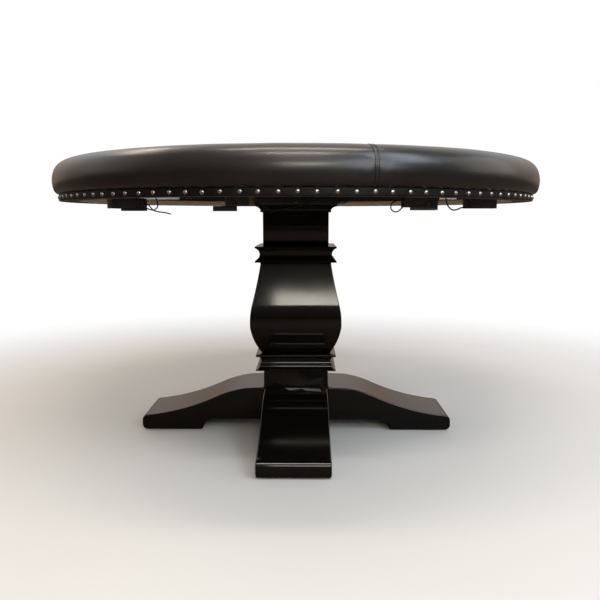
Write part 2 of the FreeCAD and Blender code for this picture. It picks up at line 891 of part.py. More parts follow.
def foot_outline():
    """Side of a foot, outwards along X from the block."""
    arch_end = "foot_length - foot_pad_length"
    sole = "glide_thickness"
    arch_radius = f"(foot_underside - {sole})"
    return [
        ("column_half", "foot_underside"),
        (f"{arch_end} - {arch_radius}", "foot_underside", f"-{arch_radius}"),
        (arch_end, sole),
        ("foot_length - foot_toe_round", sole, "foot_toe_round"),
        ("foot_length", f"{sole} + foot_toe_round"),
        ("foot_length", "foot_tip_height - foot_tip_round + foot_tip_lift", "foot_tip_round"),
        ("foot_length - foot_tip_reach", "foot_tip_height", "-foot_sweep_round"),
        ("column_half + foot_hip_reach", "foot_hip_height", "foot_hip_round"),
        ("column_half + foot_knee_reach", "foot_root_height - foot_knee_drop"),
        ("column_half", "foot_root_height"),
    ]


def build_feet():
    for index, side in enumerate(("right", "back", "left", "front")):
        body = new_body(f"foot_{side}")
        sketch = body_sketch(body, f"foot_{side}_outline", "XZ_Plane")
        add_outline(sketch, foot_outline())
        pad(body, sketch, "foot_width", midplane=True)
        bores = body_sketch(body, f"foot_{side}_bores", "YZ_Plane", offset="column_half")
        for across, level in foot_bolt_places():
            add_circle(bores, across, level, "foot_bolt_radius + thread_clearance")
        pocket(body, bores, "foot_bolt_length - block_wall", reverse=True)
        body.Placement.Rotation = FreeCAD.Rotation(FreeCAD.Vector(0, 0, 1), 90 * index)


def quarter_turned(x, y, index):
    """Place expressions turned about the table's axis by a number of quarter turns."""
    return [(x, y), (f"-({y})", x), (f"-({x})", f"-({y})"), (y, f"-({x})")][index]


def build_foot_hardware():
    bolts = []
    glides = []
    for index in range(4):
        outwards = (round(math.cos(index * math.pi / 2)), round(math.sin(index * math.pi / 2)), 0)
        for count, (across, level) in enumerate(foot_bolt_places()):
            name = f"foot_bolt_{index}_{count}"
            x, y = quarter_turned("column_half - block_wall", across, index)
            shank = make_cylinder(f"{name}_shank", "foot_bolt_radius", "foot_bolt_length", x, y, level, outwards)
            x, y = quarter_turned("column_half - block_wall - foot_bolt_head_height", across, index)
            head = make_hexagon(
                f"{name}_head", "foot_bolt_head_radius", "foot_bolt_head_height", x, y, level, outwards
            )
            bolts.append(fuse(name, [shank, head]))
        for count, across in enumerate(("-glide_spacing / 2", "glide_spacing / 2")):
            x, y = quarter_turned("foot_length - glide_inset", across, index)
            glides.append(make_cylinder(f"glide_{index}_{count}", "glide_radius", "glide_thickness", x, y, "0"))
    subpart(group("foot_bolt_set", bolts), "foot_bolts")
    subpart(group("glide_set", glides), "floor_glides")


# ---------------------------------------------------------------- lighting modules


def make_case(label, x, y, width, depth, height):
    """Open-topped case that hangs under the deck by its lid."""
    body = new_body(label)
    low = f"ceiling - ({height})"
    plan = body_sketch(body, f"{label}_plan", "XY_Plane", offset=low)
    add_outline(plan, rectangle(x, y, width, depth))
    blank = pad(body, plan, f"({height}) - lid_thickness")
    ease(body, blank, "case_round", is_upright)
    room = body_sketch(body, f"{label}_room", "XY_Plane", offset="ceiling - lid_thickness")
    wall = "2 * case_wall"
    add_outline(room, rectangle(x, y, f"({width}) - {wall}", f"({depth}) - {wall}"))
    pocket(body, room, f"({height}) - lid_thickness - case_wall")
    return body


def make_lid(label, x, y, width, depth):
    lid = make_box(f"{label}_plate", width, depth, "lid_thickness", x, y, "ceiling - lid_thickness")
    subpart(lid, label)


def make_board(name, x, y, width, depth, height):
    """Circuit board held between the end walls of a case, set back from its front."""
    across = f"({width}) - 2 * (case_wall + fit_clearance)"
    along = f"({depth}) - 2 * (case_wall + board_set_back)"
    low = f"ceiling - ({height}) + board_lift"
    return make_box(name, across, along, "board_thickness", x, y, low)


MODULES = {
    "left_driver": ("left_driver_x", "left_driver_y", "left_driver_width", "driver_depth", "left_driver_height"),
    "right_driver": (
        "right_driver_x",
        "right_driver_y",
        "right_driver_width",
        "driver_depth",
        "right_driver_height",
    ),
    "controller": (
        "controller_x",
        "controller_y",
        "controller_width",
        "controller_depth",
        "controller_height",
    ),
    "port": ("port_x", "port_y", "port_width", "port_depth", "port_height"),
}


def build_cases():
    boards = []
    for module, (x, y, width, depth, height) in MODULES.items():
        body = make_case(f"{module}_case", x, y, width, depth, height)
        if module == "controller":
            front = f"({y}) - ({depth}) / 2"
            window = body_sketch(body, "button_window", "XZ_Plane", offset=f"-({front})")
            add_outline(window, rectangle("button_x", "button_level", "button_room", "button_room"))
            pocket(body, window, "case_wall")
        make_lid(f"{module}_lid", x, y, width, depth)
        boards.append(make_board(f"{module}_board", x, y, width, depth, height))
    subpart(group("board_set", boards), "circuit_boards")


def build_button():
    """Push button and its bezel on the controller's front."""
    front = "controller_y - controller_depth / 2"
    bezel_y = f"{front} - bezel_depth / 2"
    bezel_low = "button_level - bezel_side / 2"
    frame = make_box("bezel_frame", "bezel_side", "bezel_depth", "bezel_side", "button_x", bezel_y, bezel_low)
    room_low = "button_level - button_room / 2"
    room = make_box("bezel_room", "button_room", "bezel_depth", "button_room", "button_x", bezel_y, room_low)
    subpart(cut("bezel_cut", frame, room), "button_bezel")
    body = new_body("mode_button")
    plan = body_sketch(body, "button_face", "XZ_Plane", offset=f"-({front} - button_proud)")
    add_outline(plan, rectangle("button_x", "button_level", "button_side", "button_side"))
    cap = pad(body, plan, "button_depth")
    cap.Reversed = True
    doc.recompute()
    face = number(f"{front} - button_proud")
    ease(body, cap, "button_round", lambda edge: all(abs(v.Point.y - face) < 1e-6 for v in edge.Vertexes))


def build_terminals():
    """Terminal blocks at the inner ends of the two drivers."""
    left_edge = "left_driver_x + left_driver_width / 2"
    block_low = "left_lip_low"
    left_block = make_box(
        "left_terminal_block",
        "left_terminal_width",
        "terminal_depth",
        "terminal_height + left_terminal_drop",
        f"{left_edge} + left_terminal_width / 2",
        "left_driver_y",
        block_low,
    )
    lip = make_box(
        "left_terminal_lip",
        "left_lip_length",
        "terminal_depth",
        "left_terminal_drop",
        f"{left_edge} - left_lip_length / 2",
        "left_driver_y",
        block_low,
    )
    subpart(fuse("left_terminal_fused", [left_block, lip]), "left_driver_terminal")
    right_edge = "right_driver_x - right_driver_width / 2"
    right_block = make_box(
        "right_terminal_block",
        "right_terminal_width",
        "terminal_depth",
        "terminal_height",
        f"{right_edge} - right_terminal_width / 2",
        "right_driver_y",
        "ceiling - right_driver_height",
    )
    subpart(right_block, "right_driver_terminal")


def build_brackets():
    """Sheet brackets that hold the cases to the deck, and their screws."""
    screws = []
    left_x = "left_driver_x - left_driver_width / 2 - left_bracket_width / 2"
    left_front = "left_driver_y - driver_depth / 2 + left_bracket_set_back"
    ear = make_box(
        "left_bracket_ear",
        "left_bracket_width",
        "bracket_thickness",
        "left_driver_height",
        left_x,
        left_front,
        "ceiling - left_driver_height",
    )
    flange_y = f"{left_front} + bracket_flange / 2"
    flange_low = "ceiling - bracket_thickness"
    flange = make_box(
        "left_bracket_flange", "left_bracket_width", "bracket_flange", "bracket_thickness", left_x, flange_y, flange_low
    )
    subpart(fuse("left_bracket_fused", [ear, flange]), "left_driver_bracket")
    screw_level = "ceiling - bracket_thickness - bracket_screw_height"
    screw_y = f"{left_front} + flange_screw_reach"
    screws.append(
        make_cylinder("left_flange_screw", "bracket_screw_radius", "bracket_screw_height", left_x, screw_y, screw_level)
    )
    for name in ("upper", "lower"):
        level = f"ceiling - {name}_screw_drop"
        face = f"{left_front} - bracket_thickness / 2"
        screws.append(
            make_cylinder(
                f"left_{name}_screw", "bracket_screw_radius", "bracket_screw_height", left_x, face, level, (0, -1, 0)
            )
        )

    edge = "controller_x + controller_width / 2"
    tray_low = "ceiling - controller_height - controller_tray"
    upright = make_box(
        "controller_bracket_side",
        "bracket_thickness",
        "controller_depth",
        "controller_height + controller_tray",
        f"{edge} + bracket_thickness / 2",
        "controller_y",
        tray_low,
    )
    tray = make_box(
        "controller_bracket_tray",
        "controller_tray_length",
        "controller_depth",
        "controller_tray",
        f"{edge} - controller_tray_length / 2",
        "controller_y",
        tray_low,
    )
    subpart(fuse("controller_bracket_fused", [upright, tray]), "controller_bracket")

    port_front = "port_y - port_depth / 2"
    side = make_box(
        "port_bracket_side",
        "bracket_thickness",
        "port_depth",
        "port_height",
        "port_x - port_width / 2 - bracket_thickness / 2",
        "port_y",
        "ceiling - port_height",
    )
    tab = make_box(
        "port_bracket_tab",
        "port_tab_width",
        "bracket_thickness",
        "port_height",
        "port_x + port_width / 2 - port_tab_width / 2",
        f"{port_front} - bracket_thickness / 2",
        "ceiling - port_height",
    )
    subpart(group("port_bracket_pair", [side, tab]), "port_brackets")
    screws.append(
        make_cylinder(
            "port_tab_screw",
            "bracket_screw_radius",
            "bracket_screw_height",
            "port_x + port_width / 2 - port_tab_width / 2",
            f"{port_front} - bracket_thickness",
            "ceiling - port_screw_drop",
            (0, -1, 0),
        )
    )
    subpart(group("bracket_screw_set", screws), "bracket_screws")


def build_port_fittings():
    """Two-pin power socket on the port case, and the splice connector under it."""
    front = "port_y - port_depth / 2"
    body = new_body("power_socket")
    face = body_sketch(body, "socket_face", "XZ_Plane", offset=f"-({front})")
    half = "(socket_width - socket_height) / 2"
    low = "socket_level - socket_height / 2"
    top = "socket_level + socket_height / 2"
    add_outline(
        face,
        [
            (f"socket_x - {half}", low),
            (f"socket_x + {half}", low, "socket_height / 2 * 1.0001"),
            (f"socket_x + {half}", top),
            (f"socket_x - {half}", top, "socket_height / 2 * 1.0001"),
        ],
    )
    pad(body, face, "socket_proud")
    holes = body_sketch(body, "socket_holes", "XZ_Plane", offset=f"-({front} - socket_proud)")
    for side in (-1, 1):
        add_circle(holes, f"socket_x + {side} * {half}", "socket_level", "socket_hole")
    pocket(body, holes, "socket_proud - socket_floor")
    splice = new_body("splice_connector")
    plan = body_sketch(splice, "splice_plan", "XY_Plane", offset="ceiling - port_height - splice_height")
    splice_x = "port_x - port_width / 2 - splice_overhang"
    add_outline(plan, rectangle(splice_x, f"{front} + splice_depth", "splice_length", "splice_depth"))
    shell = pad(splice, plan, "splice_height")
    ease(splice, shell, "splice_round", is_upright)


def build_light_bars():
    """Short light bars on the underside: a channel and a lens each."""
    channels = []
    lenses = []
    for side in ("left", "right"):
        length = f"{side}_light_bar_length"
        x = f"{side}_light_bar_x"
        low = "ceiling - light_bar_height"
        outside = make_box(f"{side}_bar_outside", length, "light_bar_depth", "light_bar_height", x, "light_bar_y", low)
        room_y = "light_bar_y - light_bar_wall"
        room_height = "light_bar_height - 2 * light_bar_wall"
        room_low = "ceiling - light_bar_height + light_bar_wall"
        inside = make_box(f"{side}_bar_inside", length, "light_bar_depth", room_height, x, room_y, room_low)
        channels.append(cut(f"{side}_bar_channel", outside, inside))
        lens_depth = "light_bar_depth - light_bar_wall"
        lens_y = "light_bar_y - light_bar_wall / 2"
        lenses.append(make_box(f"{side}_bar_lens", length, lens_depth, room_height, x, lens_y, room_low))
    subpart(group("bar_channels", channels), "light_bar_channels")
    subpart(group("bar_lenses", lenses), "light_bar_lenses")


# ---------------------------------------------------------------- leads

# Each route is a list of points along the middle of the lead, from where it leaves a module.
LEADS = {
    "left_lead": (
        "lead_diameter",
        [
            (-362.8, -378, 661),
            (-353, -378, 656.5),
            (-342, -377, 655.5),
            (-333.5, -376, 663),
            (-334, -374, 675),
            (-340, -371, 686.5),
            (-342, -370, 698.4),
        ],
    ),
    "left_aerial": (
        "lead_diameter",
        [
            (-362.8, -392, 671),
            (-352, -393, 669),
            (-346, -394, 660),
            (-338, -394, 653.5),
            (-325, -393, 651),
            (-311, -392, 649.5),
            (-299, -391, 646),
        ],
    ),
    "controller_lead": (
        "lead_diameter",
        [
            (260.9, -411, 679),
            (249, -412, 679.5),
            (237, -414, 674.5),
            (230, -417, 663.5),
            (234.5, -420, 653),
            (246, -423, 650),
            (254, -424, 657.5),
            (260.9, -424, 664),
        ],
    ),
    "right_lead": (
        "right_lead_diameter",
        [
            (439.4, -288, 664),
            (429, -288, 663),
            (419, -289, 657.5),
            (408, -290, 656),
            (398.5, -290, 662),
            (392, -289, 673),
            (389.5, -288, 686),
            (390, -287, 698.4),
        ],
    ),
    "centre_lead": (
        "centre_lead_diameter",
        [
            (-82, -522, 668),
            (-70, -520, 666),
            (-60, -510, 660),
            (-56, -480, 655),
            (-54, -435, 652),
            (-52, -380, 653),
            (-48, -325, 656),
            (-38, -270, 660),
            (-20, -220, 663),
            (5, -185, 666),
            (30, -170, 674),
            (48.5, -164.9, 686),
            (52, -164, 698.4),
        ],
    ),
}


# The leads that go up through the deck, each through a grommet.
THROUGH_DECK = ("left_lead", "right_lead", "centre_lead")


def rounded_path(points):
    """Wire of straight runs joined by tangent arcs, and the arcs' radii."""
    edges = []
    radii = []
    start = points[0]
    for before, corner, after in zip(points, points[1:], points[2:]):
        arriving = (corner - before).normalize()
        leaving = (after - corner).normalize()
        half_turn = arriving.getAngle(leaving) / 2
        setback = 0.45 * min((corner - before).Length, (after - corner).Length)
        radius = setback / math.tan(half_turn)
        radii.append(radius)
        arc_start = corner - arriving * setback
        arc_end = corner + leaving * setback
        inwards = (leaving - arriving).normalize()
        middle = corner + inwards * (radius / math.cos(half_turn) - radius)
        edges.append(Part.LineSegment(start, arc_start).toShape())
        edges.append(Part.Arc(arc_start, middle, arc_end).toShape())
        start = arc_end
    edges.append(Part.LineSegment(start, points[-1]).toShape())
    return Part.Wire(edges), radii


def build_leads():
    grommets = []
    for name, (diameter, route) in LEADS.items():
        points = [FreeCAD.Vector(*point) for point in route]
        path, radii = rounded_path(points)
        radius = number(diameter) / 2
        section = Part.Wire(Part.Circle(points[0], points[1] - points[0], radius).toShape())
        tube = path.makePipeShell([section], True, True)
        expected = math.pi * radius**2 * path.Length
        lead = doc.addObject("Part::Feature", name)
        lead.Shape = tube
        subpart(lead, name)
        smallest = min(radii) / number(diameter)
        print(
            f"{name}: length {path.Length:.1f}, radii {', '.join(f'{r:.1f}' for r in radii)}, "
            f"tightest {smallest:.1f} diameters, volume ratio {tube.Volume / expected:.4f}"
        )
        if name in THROUGH_DECK:
            end = route[-1]
            low = "ceiling - grommet_height"
            place = (str(end[0]), str(end[1]), low)
            ring = make_cylinder(f"{name}_grommet_ring", "grommet_radius", "grommet_height", *place)
            room = f"{diameter} / 2 + grommet_clearance"
            hole = make_cylinder(f"{name}_grommet_hole", room, "grommet_height", *place)
            grommets.append(cut(f"{name}_grommet", ring, hole))
    subpart(group("grommet_set", grommets), "lead_grommets")


# ---------------------------------------------------------------- build, check and write


def check_document():
    """Stop at a failed object, or a sub-part with no sound shape."""
    for thing in doc.Objects:
        if "Invalid" in thing.State or "Error" in thing.State:
            raise RuntimeError(f"{thing.Name} ({thing.Label}) failed: {thing.State}")
    for piece in SUBPARTS:
        if piece.Shape.isNull() or not piece.Shape.isValid() or not piece.Shape.Solids:
            raise RuntimeError(f"{piece.Label} has no sound shape")


def main():
    build_rail()
    build_deck()
    build_nails()
    build_playfield()
    build_light_channel()
    build_mounting()
    build_capital()
    build_column()
    build_neck()
    build_urn()
    build_base()
    build_block()
    build_tie_rod()
    build_feet()
    build_foot_hardware()
    build_cases()
    build_button()
    build_terminals()
    build_brackets()
    build_port_fittings()
    build_light_bars()
    build_leads()
    doc.recompute()
    check_document()
    os.makedirs("parts", exist_ok=True)
    for piece in SUBPARTS:
        piece.Shape.exportStep(f"parts/{piece.Label}.step")
    print(f"{len(SUBPARTS)} sub-parts, {sum(len(piece.Shape.Solids) for piece in SUBPARTS)} solids")


main()
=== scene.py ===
"""Round gaming table: a padded rail over a nailed apron, a lift-out playing surface, a square urn
pedestal on four scroll feet, and the lighting modules and their leads under the deck.

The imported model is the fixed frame. Sizes are in metres, +Z is up, and the origin is on the floor
under the middle of the table.
"""

import json
import logging
import math
import random
from dataclasses import dataclass, field
from enum import Enum
from itertools import accumulate
from typing import Callable, Iterable, Optional, Sequence, Union

import bmesh
import bpy
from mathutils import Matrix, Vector, noise


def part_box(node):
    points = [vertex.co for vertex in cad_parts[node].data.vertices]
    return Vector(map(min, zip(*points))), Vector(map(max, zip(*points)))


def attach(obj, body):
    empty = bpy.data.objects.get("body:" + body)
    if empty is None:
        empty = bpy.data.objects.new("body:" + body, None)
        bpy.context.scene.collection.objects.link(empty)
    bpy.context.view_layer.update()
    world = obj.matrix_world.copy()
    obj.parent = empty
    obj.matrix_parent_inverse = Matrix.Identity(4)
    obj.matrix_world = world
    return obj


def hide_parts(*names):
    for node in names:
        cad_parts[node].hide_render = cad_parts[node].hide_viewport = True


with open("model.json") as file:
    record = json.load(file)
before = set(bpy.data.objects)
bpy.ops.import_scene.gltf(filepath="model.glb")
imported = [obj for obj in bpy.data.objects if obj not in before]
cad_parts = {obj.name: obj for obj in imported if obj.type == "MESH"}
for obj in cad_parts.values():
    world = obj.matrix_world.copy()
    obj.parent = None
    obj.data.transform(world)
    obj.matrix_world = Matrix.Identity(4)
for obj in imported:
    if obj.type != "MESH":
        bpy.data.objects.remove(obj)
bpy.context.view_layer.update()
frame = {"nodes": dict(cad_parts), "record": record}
LOG = logging.getLogger("gaming_table")

Pair = tuple[float, float]
Triple = tuple[float, float, float]
Socket = bpy.types.NodeSocket
Corner = Union[tuple[float, float], tuple[float, float, float]]
Place = tuple[Vector, Vector, Vector]

TABLE = "table"
SURFACE = "playing_surface"
BUTTON = "mode_button"

FULL_TURN = 2 * math.pi
DOWN = Vector((0, 0, -1))
FORWARD = Vector((0, -1, 0))
MERGE = 2e-6
SLOTS = {entry["node"]: entry["material_slot"] for entry in frame["record"]["subparts"]}


# ---- finishes


class Grain(Enum):
    """What the surface of a finish looks like close up."""

    PEBBLED = "pebbled"
    LACQUERED = "lacquered"
    PLYWOOD = "plywood"
    WOVEN = "woven"
    BRUSHED = "brushed"
    SPANGLED = "spangled"
    POLISHED = "polished"
    MOULDED = "moulded"
    ENAMELLED = "enamelled"
    FOAMED = "foamed"
    OPAL = "opal"
    STRIP = "strip"
    CIRCUIT = "circuit"
    THREADED = "threaded"


class Nodes:
    """Adds nodes to one tree."""

    family = "ShaderNode"

    def __init__(self, tree: bpy.types.NodeTree) -> None:
        """Start with a tree."""
        self.tree = tree

    def put(self, socket: Socket, value: object) -> None:
        """Link or set an input.

        Args:
            socket: The input.
            value: Output socket or constant. A colour may leave its alpha out.
        """
        if isinstance(value, Socket):
            self.tree.links.new(value, socket)
        elif isinstance(value, tuple) and len(value) == 3 and socket.type == "RGBA":
            socket.default_value = (*value, 1)
        else:
            socket.default_value = value

    def add(self, kind: str, inputs: Optional[dict] = None, **settings: object) -> bpy.types.Node:
        """Add a node.

        Args:
            kind: The node's type, which may leave out the family's name.
            inputs: Value or output socket for each input, by name or number.
            settings: The node's own properties.

        Returns:
            The new node.
        """
        made = self.tree.nodes.new(kind if "Node" in kind else self.family + kind)
        for key, value in settings.items():
            setattr(made, key, value)
        for key, value in (inputs or {}).items():
            self.put(made.inputs[key], value)
        return made

    def math(self, operation: str, *values: Union[float, Socket]) -> Socket:
        """Result of a maths node on some values."""
        return self.add("ShaderNodeMath", dict(enumerate(values)), operation=operation).outputs[0]

    def times(self, first: Socket, second: Union[float, Socket]) -> Socket:
        """Product of two values."""
        return self.math("MULTIPLY", first, second)

    def axis(self, vector: Socket, name: str) -> Socket:
        """One part of a vector."""
        return self.add("ShaderNodeSeparateXYZ", {0: vector}).outputs[name]

    def place(self, scale: Triple = (1, 1, 1)) -> Socket:
        """Object coordinates, stretched along each axis."""
        source = self.add("TexCoord").outputs["Object"]
        return self.add("Mapping", {"Vector": source, "Scale": scale}).outputs["Vector"]

    def clouds(self, scale: float, detail: float = 3, stretch: Triple = (1, 1, 1)) -> Socket:
        """Noise with so many cells in a metre, and so many octaves."""
        return self.add("TexNoise", {"Vector": self.place(stretch), "Scale": scale, "Detail": detail}).outputs[0]

    def cells(
        self, scale: float, feature: str = "F1", stretch: Triple = (1, 1, 1), output: str = "Distance"
    ) -> Socket:
        """Cell pattern with so many cells in a metre."""
        inputs = {"Vector": self.place(stretch), "Scale": scale}
        return self.add("TexVoronoi", inputs, feature=feature).outputs[output]

    def spread(self, value: Socket, low: float = 0, high: float = 1, start: float = 0.3, end: float = 0.7) -> Socket:
        """Grey value mapped from start and end to low and high."""
        inputs = {"Value": value, "From Min": start, "From Max": end, "To Min": low, "To Max": high}
        return self.add("MapRange", inputs).outputs[0]

    def blend(self, share: Union[float, Socket], first: object, second: object) -> Socket:
        """Mixed colour.

        Args:
            share: How much of the second, from 0 to 1.
            first: Colour or socket.
            second: Colour or socket.

        Returns:
            The colour socket.
        """
        made = self.add("Mix", data_type="RGBA")
        named = {"Factor_Float": share, "A_Color": first, "B_Color": second}
        for socket in made.inputs:
            if socket.identifier in named:
                self.put(socket, named[socket.identifier])
        return next(socket for socket in made.outputs if socket.identifier == "Result_Color")


def emptied(owner: Union[bpy.types.Material, bpy.types.World]) -> bpy.types.NodeTree:
    """Turn on and empty a node tree.

    Args:
        owner: The material or world.

    Returns:
        Its tree.
    """
    owner.use_nodes = True
    owner.node_tree.nodes.clear()
    return owner.node_tree


class Shader(Nodes):
    """Writes a material's node tree around one principled surface."""

    def __init__(self, name: str) -> None:
        """Start a material.

        Args:
            name: Its name.
        """
        self.material = bpy.data.materials.new(name)
        super().__init__(emptied(self.material))
        self.surface = self.add("BsdfPrincipled")
        self.output = self.add("OutputMaterial", {"Surface": self.surface.outputs["BSDF"]})

    def relief(self, height: Socket, distance: float, below: Optional[Socket] = None) -> Socket:
        """Bump of a height and depth, over the normal of a coarser relief if there is one."""
        coarser = {} if below is None else {"Normal": below}
        return self.add("Bump", {"Height": height, "Distance": distance, "Strength": 1.0, **coarser}).outputs[0]

    def dress(self, **values: object) -> None:
        """Set the surface's sockets, with _ for a space in a name."""
        for key, value in values.items():
            self.put(self.surface.inputs[key.replace("_", " ")], value)


@dataclass(frozen=True)
class Finish:
    """One finish: the two colours it varies between, its lowest and highest roughness, and its grain.

    depth scales its relief, and below is a darker colour for its downward faces, which on the base ring is painted
    shade.
    """

    slot: str
    colour: Triple
    tint: Triple
    roughness: Pair
    grain: Grain
    metallic: float = 0.0
    specular: float = 0.5
    coat: float = 0.0
    sheen: float = 0.0
    depth: float = 1.0
    below: Optional[Triple] = None


class FinishShader(Shader):
    """Writes the material of one finish, with a method for each grain."""

    coat_roughness = 0.22
    sheen_roughness = 0.4
    ply_pitch = 0.0029
    strip_lights = 212

    def __init__(self, finish: Finish) -> None:
        """Write the whole material.

        Args:
            finish: The finish.
        """
        super().__init__(finish.slot)
        self.finish = finish
        getattr(self, finish.grain.value)()
        self.dress(Metallic=finish.metallic, Specular_IOR_Level=finish.specular, Coat_Weight=finish.coat)
        self.dress(Coat_Roughness=self.coat_roughness)
        self.dress(Sheen_Weight=finish.sheen, Sheen_Roughness=self.sheen_roughness)

    def tone(self, grey: Socket) -> Socket:
        """Colour that varies with a grey value."""
        return self.blend(self.spread(grey), self.finish.colour, self.finish.tint)

    def rough(self, grey: Socket, start: float = 0.3, end: float = 0.7) -> Socket:
        """Roughness that varies with a grey value."""
        return self.spread(grey, *self.finish.roughness, start, end)

    def cover(self, colour: Socket, mottle: Socket, normal: Socket, **more: object) -> None:
        """Dress the surface, rougher where a grey value is high."""
        self.dress(Base_Color=colour, Roughness=self.rough(mottle), Normal=normal, **more)

    def pebbled(self) -> None:
        """Upholstery vinyl: fine pebbles, faint creases between them and a slowly changing sheen."""
        pebbles, clouds = self.cells(1150, "SMOOTH_F1"), self.clouds(9, 4)
        groove = self.spread(self.cells(330, "DISTANCE_TO_EDGE"), 0, 1, 0, 0.09)
        height = self.math("ADD", self.times(pebbles, -0.8), self.times(groove, 0.5))
        normal = self.relief(height, 0.00011 * self.finish.depth)
        normal = self.relief(self.clouds(3200, 2), 0.00003 * self.finish.depth, normal)
        rough = self.math("ADD", self.rough(clouds), self.times(pebbles, 0.08))
        self.dress(Base_Color=self.tone(clouds), Roughness=rough, Normal=normal)

    def lacquered(self) -> None:
        """Lacquer over wood: drawn-out grain telegraphing through, orange peel, and rubbed edges."""
        wood = self.clouds(2.2, 5, (60, 60, 5))
        normal = self.relief(wood, 0.00022 * self.finish.depth)
        normal = self.relief(self.clouds(190, 2), 0.00005 * self.finish.depth, normal)
        edge = self.spread(self.add("NewGeometry").outputs["Pointiness"], 0, 0.5, 0.53, 0.62)
        rubbed = self.times(edge, self.spread(self.clouds(70), 0, 1, 0.45, 0.65))
        colour = self.blend(rubbed, self.tone(wood), (0.012, 0.009, 0.007))
        self.cover(colour, self.clouds(5, 4), normal)

    def plywood(self) -> None:
        """Plywood: plies on its edges and grain on its faces, and a darker colour on its downward faces if asked,
        which on the base ring is painted shade.
        """
        upward = self.axis(self.add("NewGeometry").outputs["Normal"], "Z")
        flat = self.math("GREATER_THAN", self.math("ABSOLUTE", upward), 0.7)
        plies = self.math("SINE", self.times(self.axis(self.place(), "Z"), FULL_TURN / self.ply_pitch))
        grain, fibres = self.clouds(3, 6, (9, 70, 9)), self.clouds(40, 4, (1, 1, 30))
        edge = self.blend(self.spread(plies, 0, 0.8, -0.4, 0.4), self.finish.colour, self.finish.tint)
        edge = self.blend(self.spread(fibres, 0, 0.5), edge, self.finish.tint)
        colour = self.blend(flat, edge, self.tone(grain))
        # Downward faces take the finish's darker below colour; on the base ring it is painted shade.
        if self.finish.below is not None:
            underside_colour = self.blend(self.spread(grain, 0, 0.5), self.finish.below, (0, 0, 0))
            colour = self.blend(self.math("LESS_THAN", upward, -0.7), colour, underside_colour)
        self.cover(colour, fibres, self.relief(grain, 0.00012))

    def woven(self) -> None:
        """Speed cloth: a fine square weave with a little nap."""
        waves = []
        for axis in ("X", "Y"):
            inputs = {"Vector": self.place(), "Scale": 330, "Distortion": 0.2, "Detail": 0}
            waves.append(self.add("TexWave", inputs, bands_direction=axis).outputs["Fac"])
        flecks = self.clouds(900, 2)
        colour = self.blend(self.spread(flecks, 0, 0.6), self.tone(self.clouds(14, 5)), self.finish.tint)
        weave = self.relief(self.times(*waves), 0.00012)
        self.cover(colour, flecks, self.relief(self.clouds(2600, 2), 0.00005, weave))

    def brushed(self) -> None:
        """Brushed or drawn metal: fine lines along one direction."""
        lines = self.clouds(900, 3, (1, 1, 0.02))
        self.cover(self.tone(lines), self.clouds(12), self.relief(lines, 0.00002))

    def spangled(self) -> None:
        """Zinc plating: faint crystal patches."""
        patch = self.axis(self.cells(160, output="Color"), "X")
        colour = self.blend(patch, self.finish.colour, self.finish.tint)
        normal = self.relief(self.clouds(700), 0.00002)
        self.dress(Base_Color=colour, Roughness=self.rough(patch, 0, 1), Normal=normal)

    def polished(self) -> None:
        """Plated and polished: small dents and a mottled shine."""
        mottle = self.clouds(420, 4)
        self.cover(self.tone(mottle), mottle, self.relief(self.clouds(260, 2), 0.00025 * self.finish.depth))

    def moulded(self) -> None:
        """Moulded plastic or rubber: a fine spark texture."""
        clouds = self.clouds(35, 4)
        sparks = self.relief(self.cells(1500), 0.00006 * self.finish.depth)
        self.cover(self.tone(clouds), clouds, self.relief(self.clouds(420, 2), 0.00003, sparks))

    def enamelled(self) -> None:
        """Sheet metal under enamel: orange peel and small dust."""
        dust = self.clouds(1700, 2)
        self.cover(self.tone(dust), dust, self.relief(self.clouds(240, 2), 0.00006))

    def foamed(self) -> None:
        """Open-cell foam, with painted shade in the grooves between its cells."""
        pores, clouds = self.cells(850, "DISTANCE_TO_EDGE"), self.clouds(20, 4)
        # The grooves between the cells are coloured darker: painted shade.
        shade = self.blend(self.spread(pores, 0, 1, 0, 0.3), self.finish.tint, self.tone(clouds))
        self.cover(shade, clouds, self.relief(pores, 0.0004))

    def opal(self) -> None:
        """Opal plastic: milky, with faint die lines."""
        clouds, normal = self.clouds(30), self.relief(self.clouds(800, 2), 0.00002)
        self.cover(self.tone(clouds), clouds, normal, Subsurface_Weight=0.25, Subsurface_Scale=0.004)

    def strip(self) -> None:
        """Light strip: a white tape with a small yellow light every few centimetres round the table."""
        place, clouds = self.place(), self.clouds(60)
        angle = self.math("ARCTAN2", self.axis(place, "Y"), self.axis(place, "X"))
        turns = self.math("FRACT", self.times(angle, self.strip_lights / FULL_TURN))
        off = self.math("ABSOLUTE", self.math("SUBTRACT", turns, 0.5))
        light = self.math("LESS_THAN", off, 0.15)
        colour = self.blend(light, self.tone(clouds), (0.75, 0.55, 0.12))
        colour = self.blend(self.math("GREATER_THAN", off, 0.47), colour, (0.62, 0.30, 0.12))
        self.cover(colour, clouds, self.relief(light, 0.0004))

    def circuit(self) -> None:
        """Circuit board: tracks and soldered pads under a green mask."""
        track = self.spread(self.cells(240, "DISTANCE_TO_EDGE", (1, 0.5, 1)), 1, 0, 0.02, 0.05)
        dots = self.spread(self.cells(330), 1, 0, 0.14, 0.2)
        colour = self.blend(track, self.finish.colour, self.finish.tint)
        self.cover(self.blend(dots, colour, (0.55, 0.55, 0.52)), self.clouds(90), self.relief(track, 0.00006))

    def threaded(self) -> None:
        """Twisted sewing thread."""
        twist = self.clouds(1600, 3, (1, 1, 0.5))
        self.cover(self.tone(twist), twist, self.relief(twist, 0.0001))


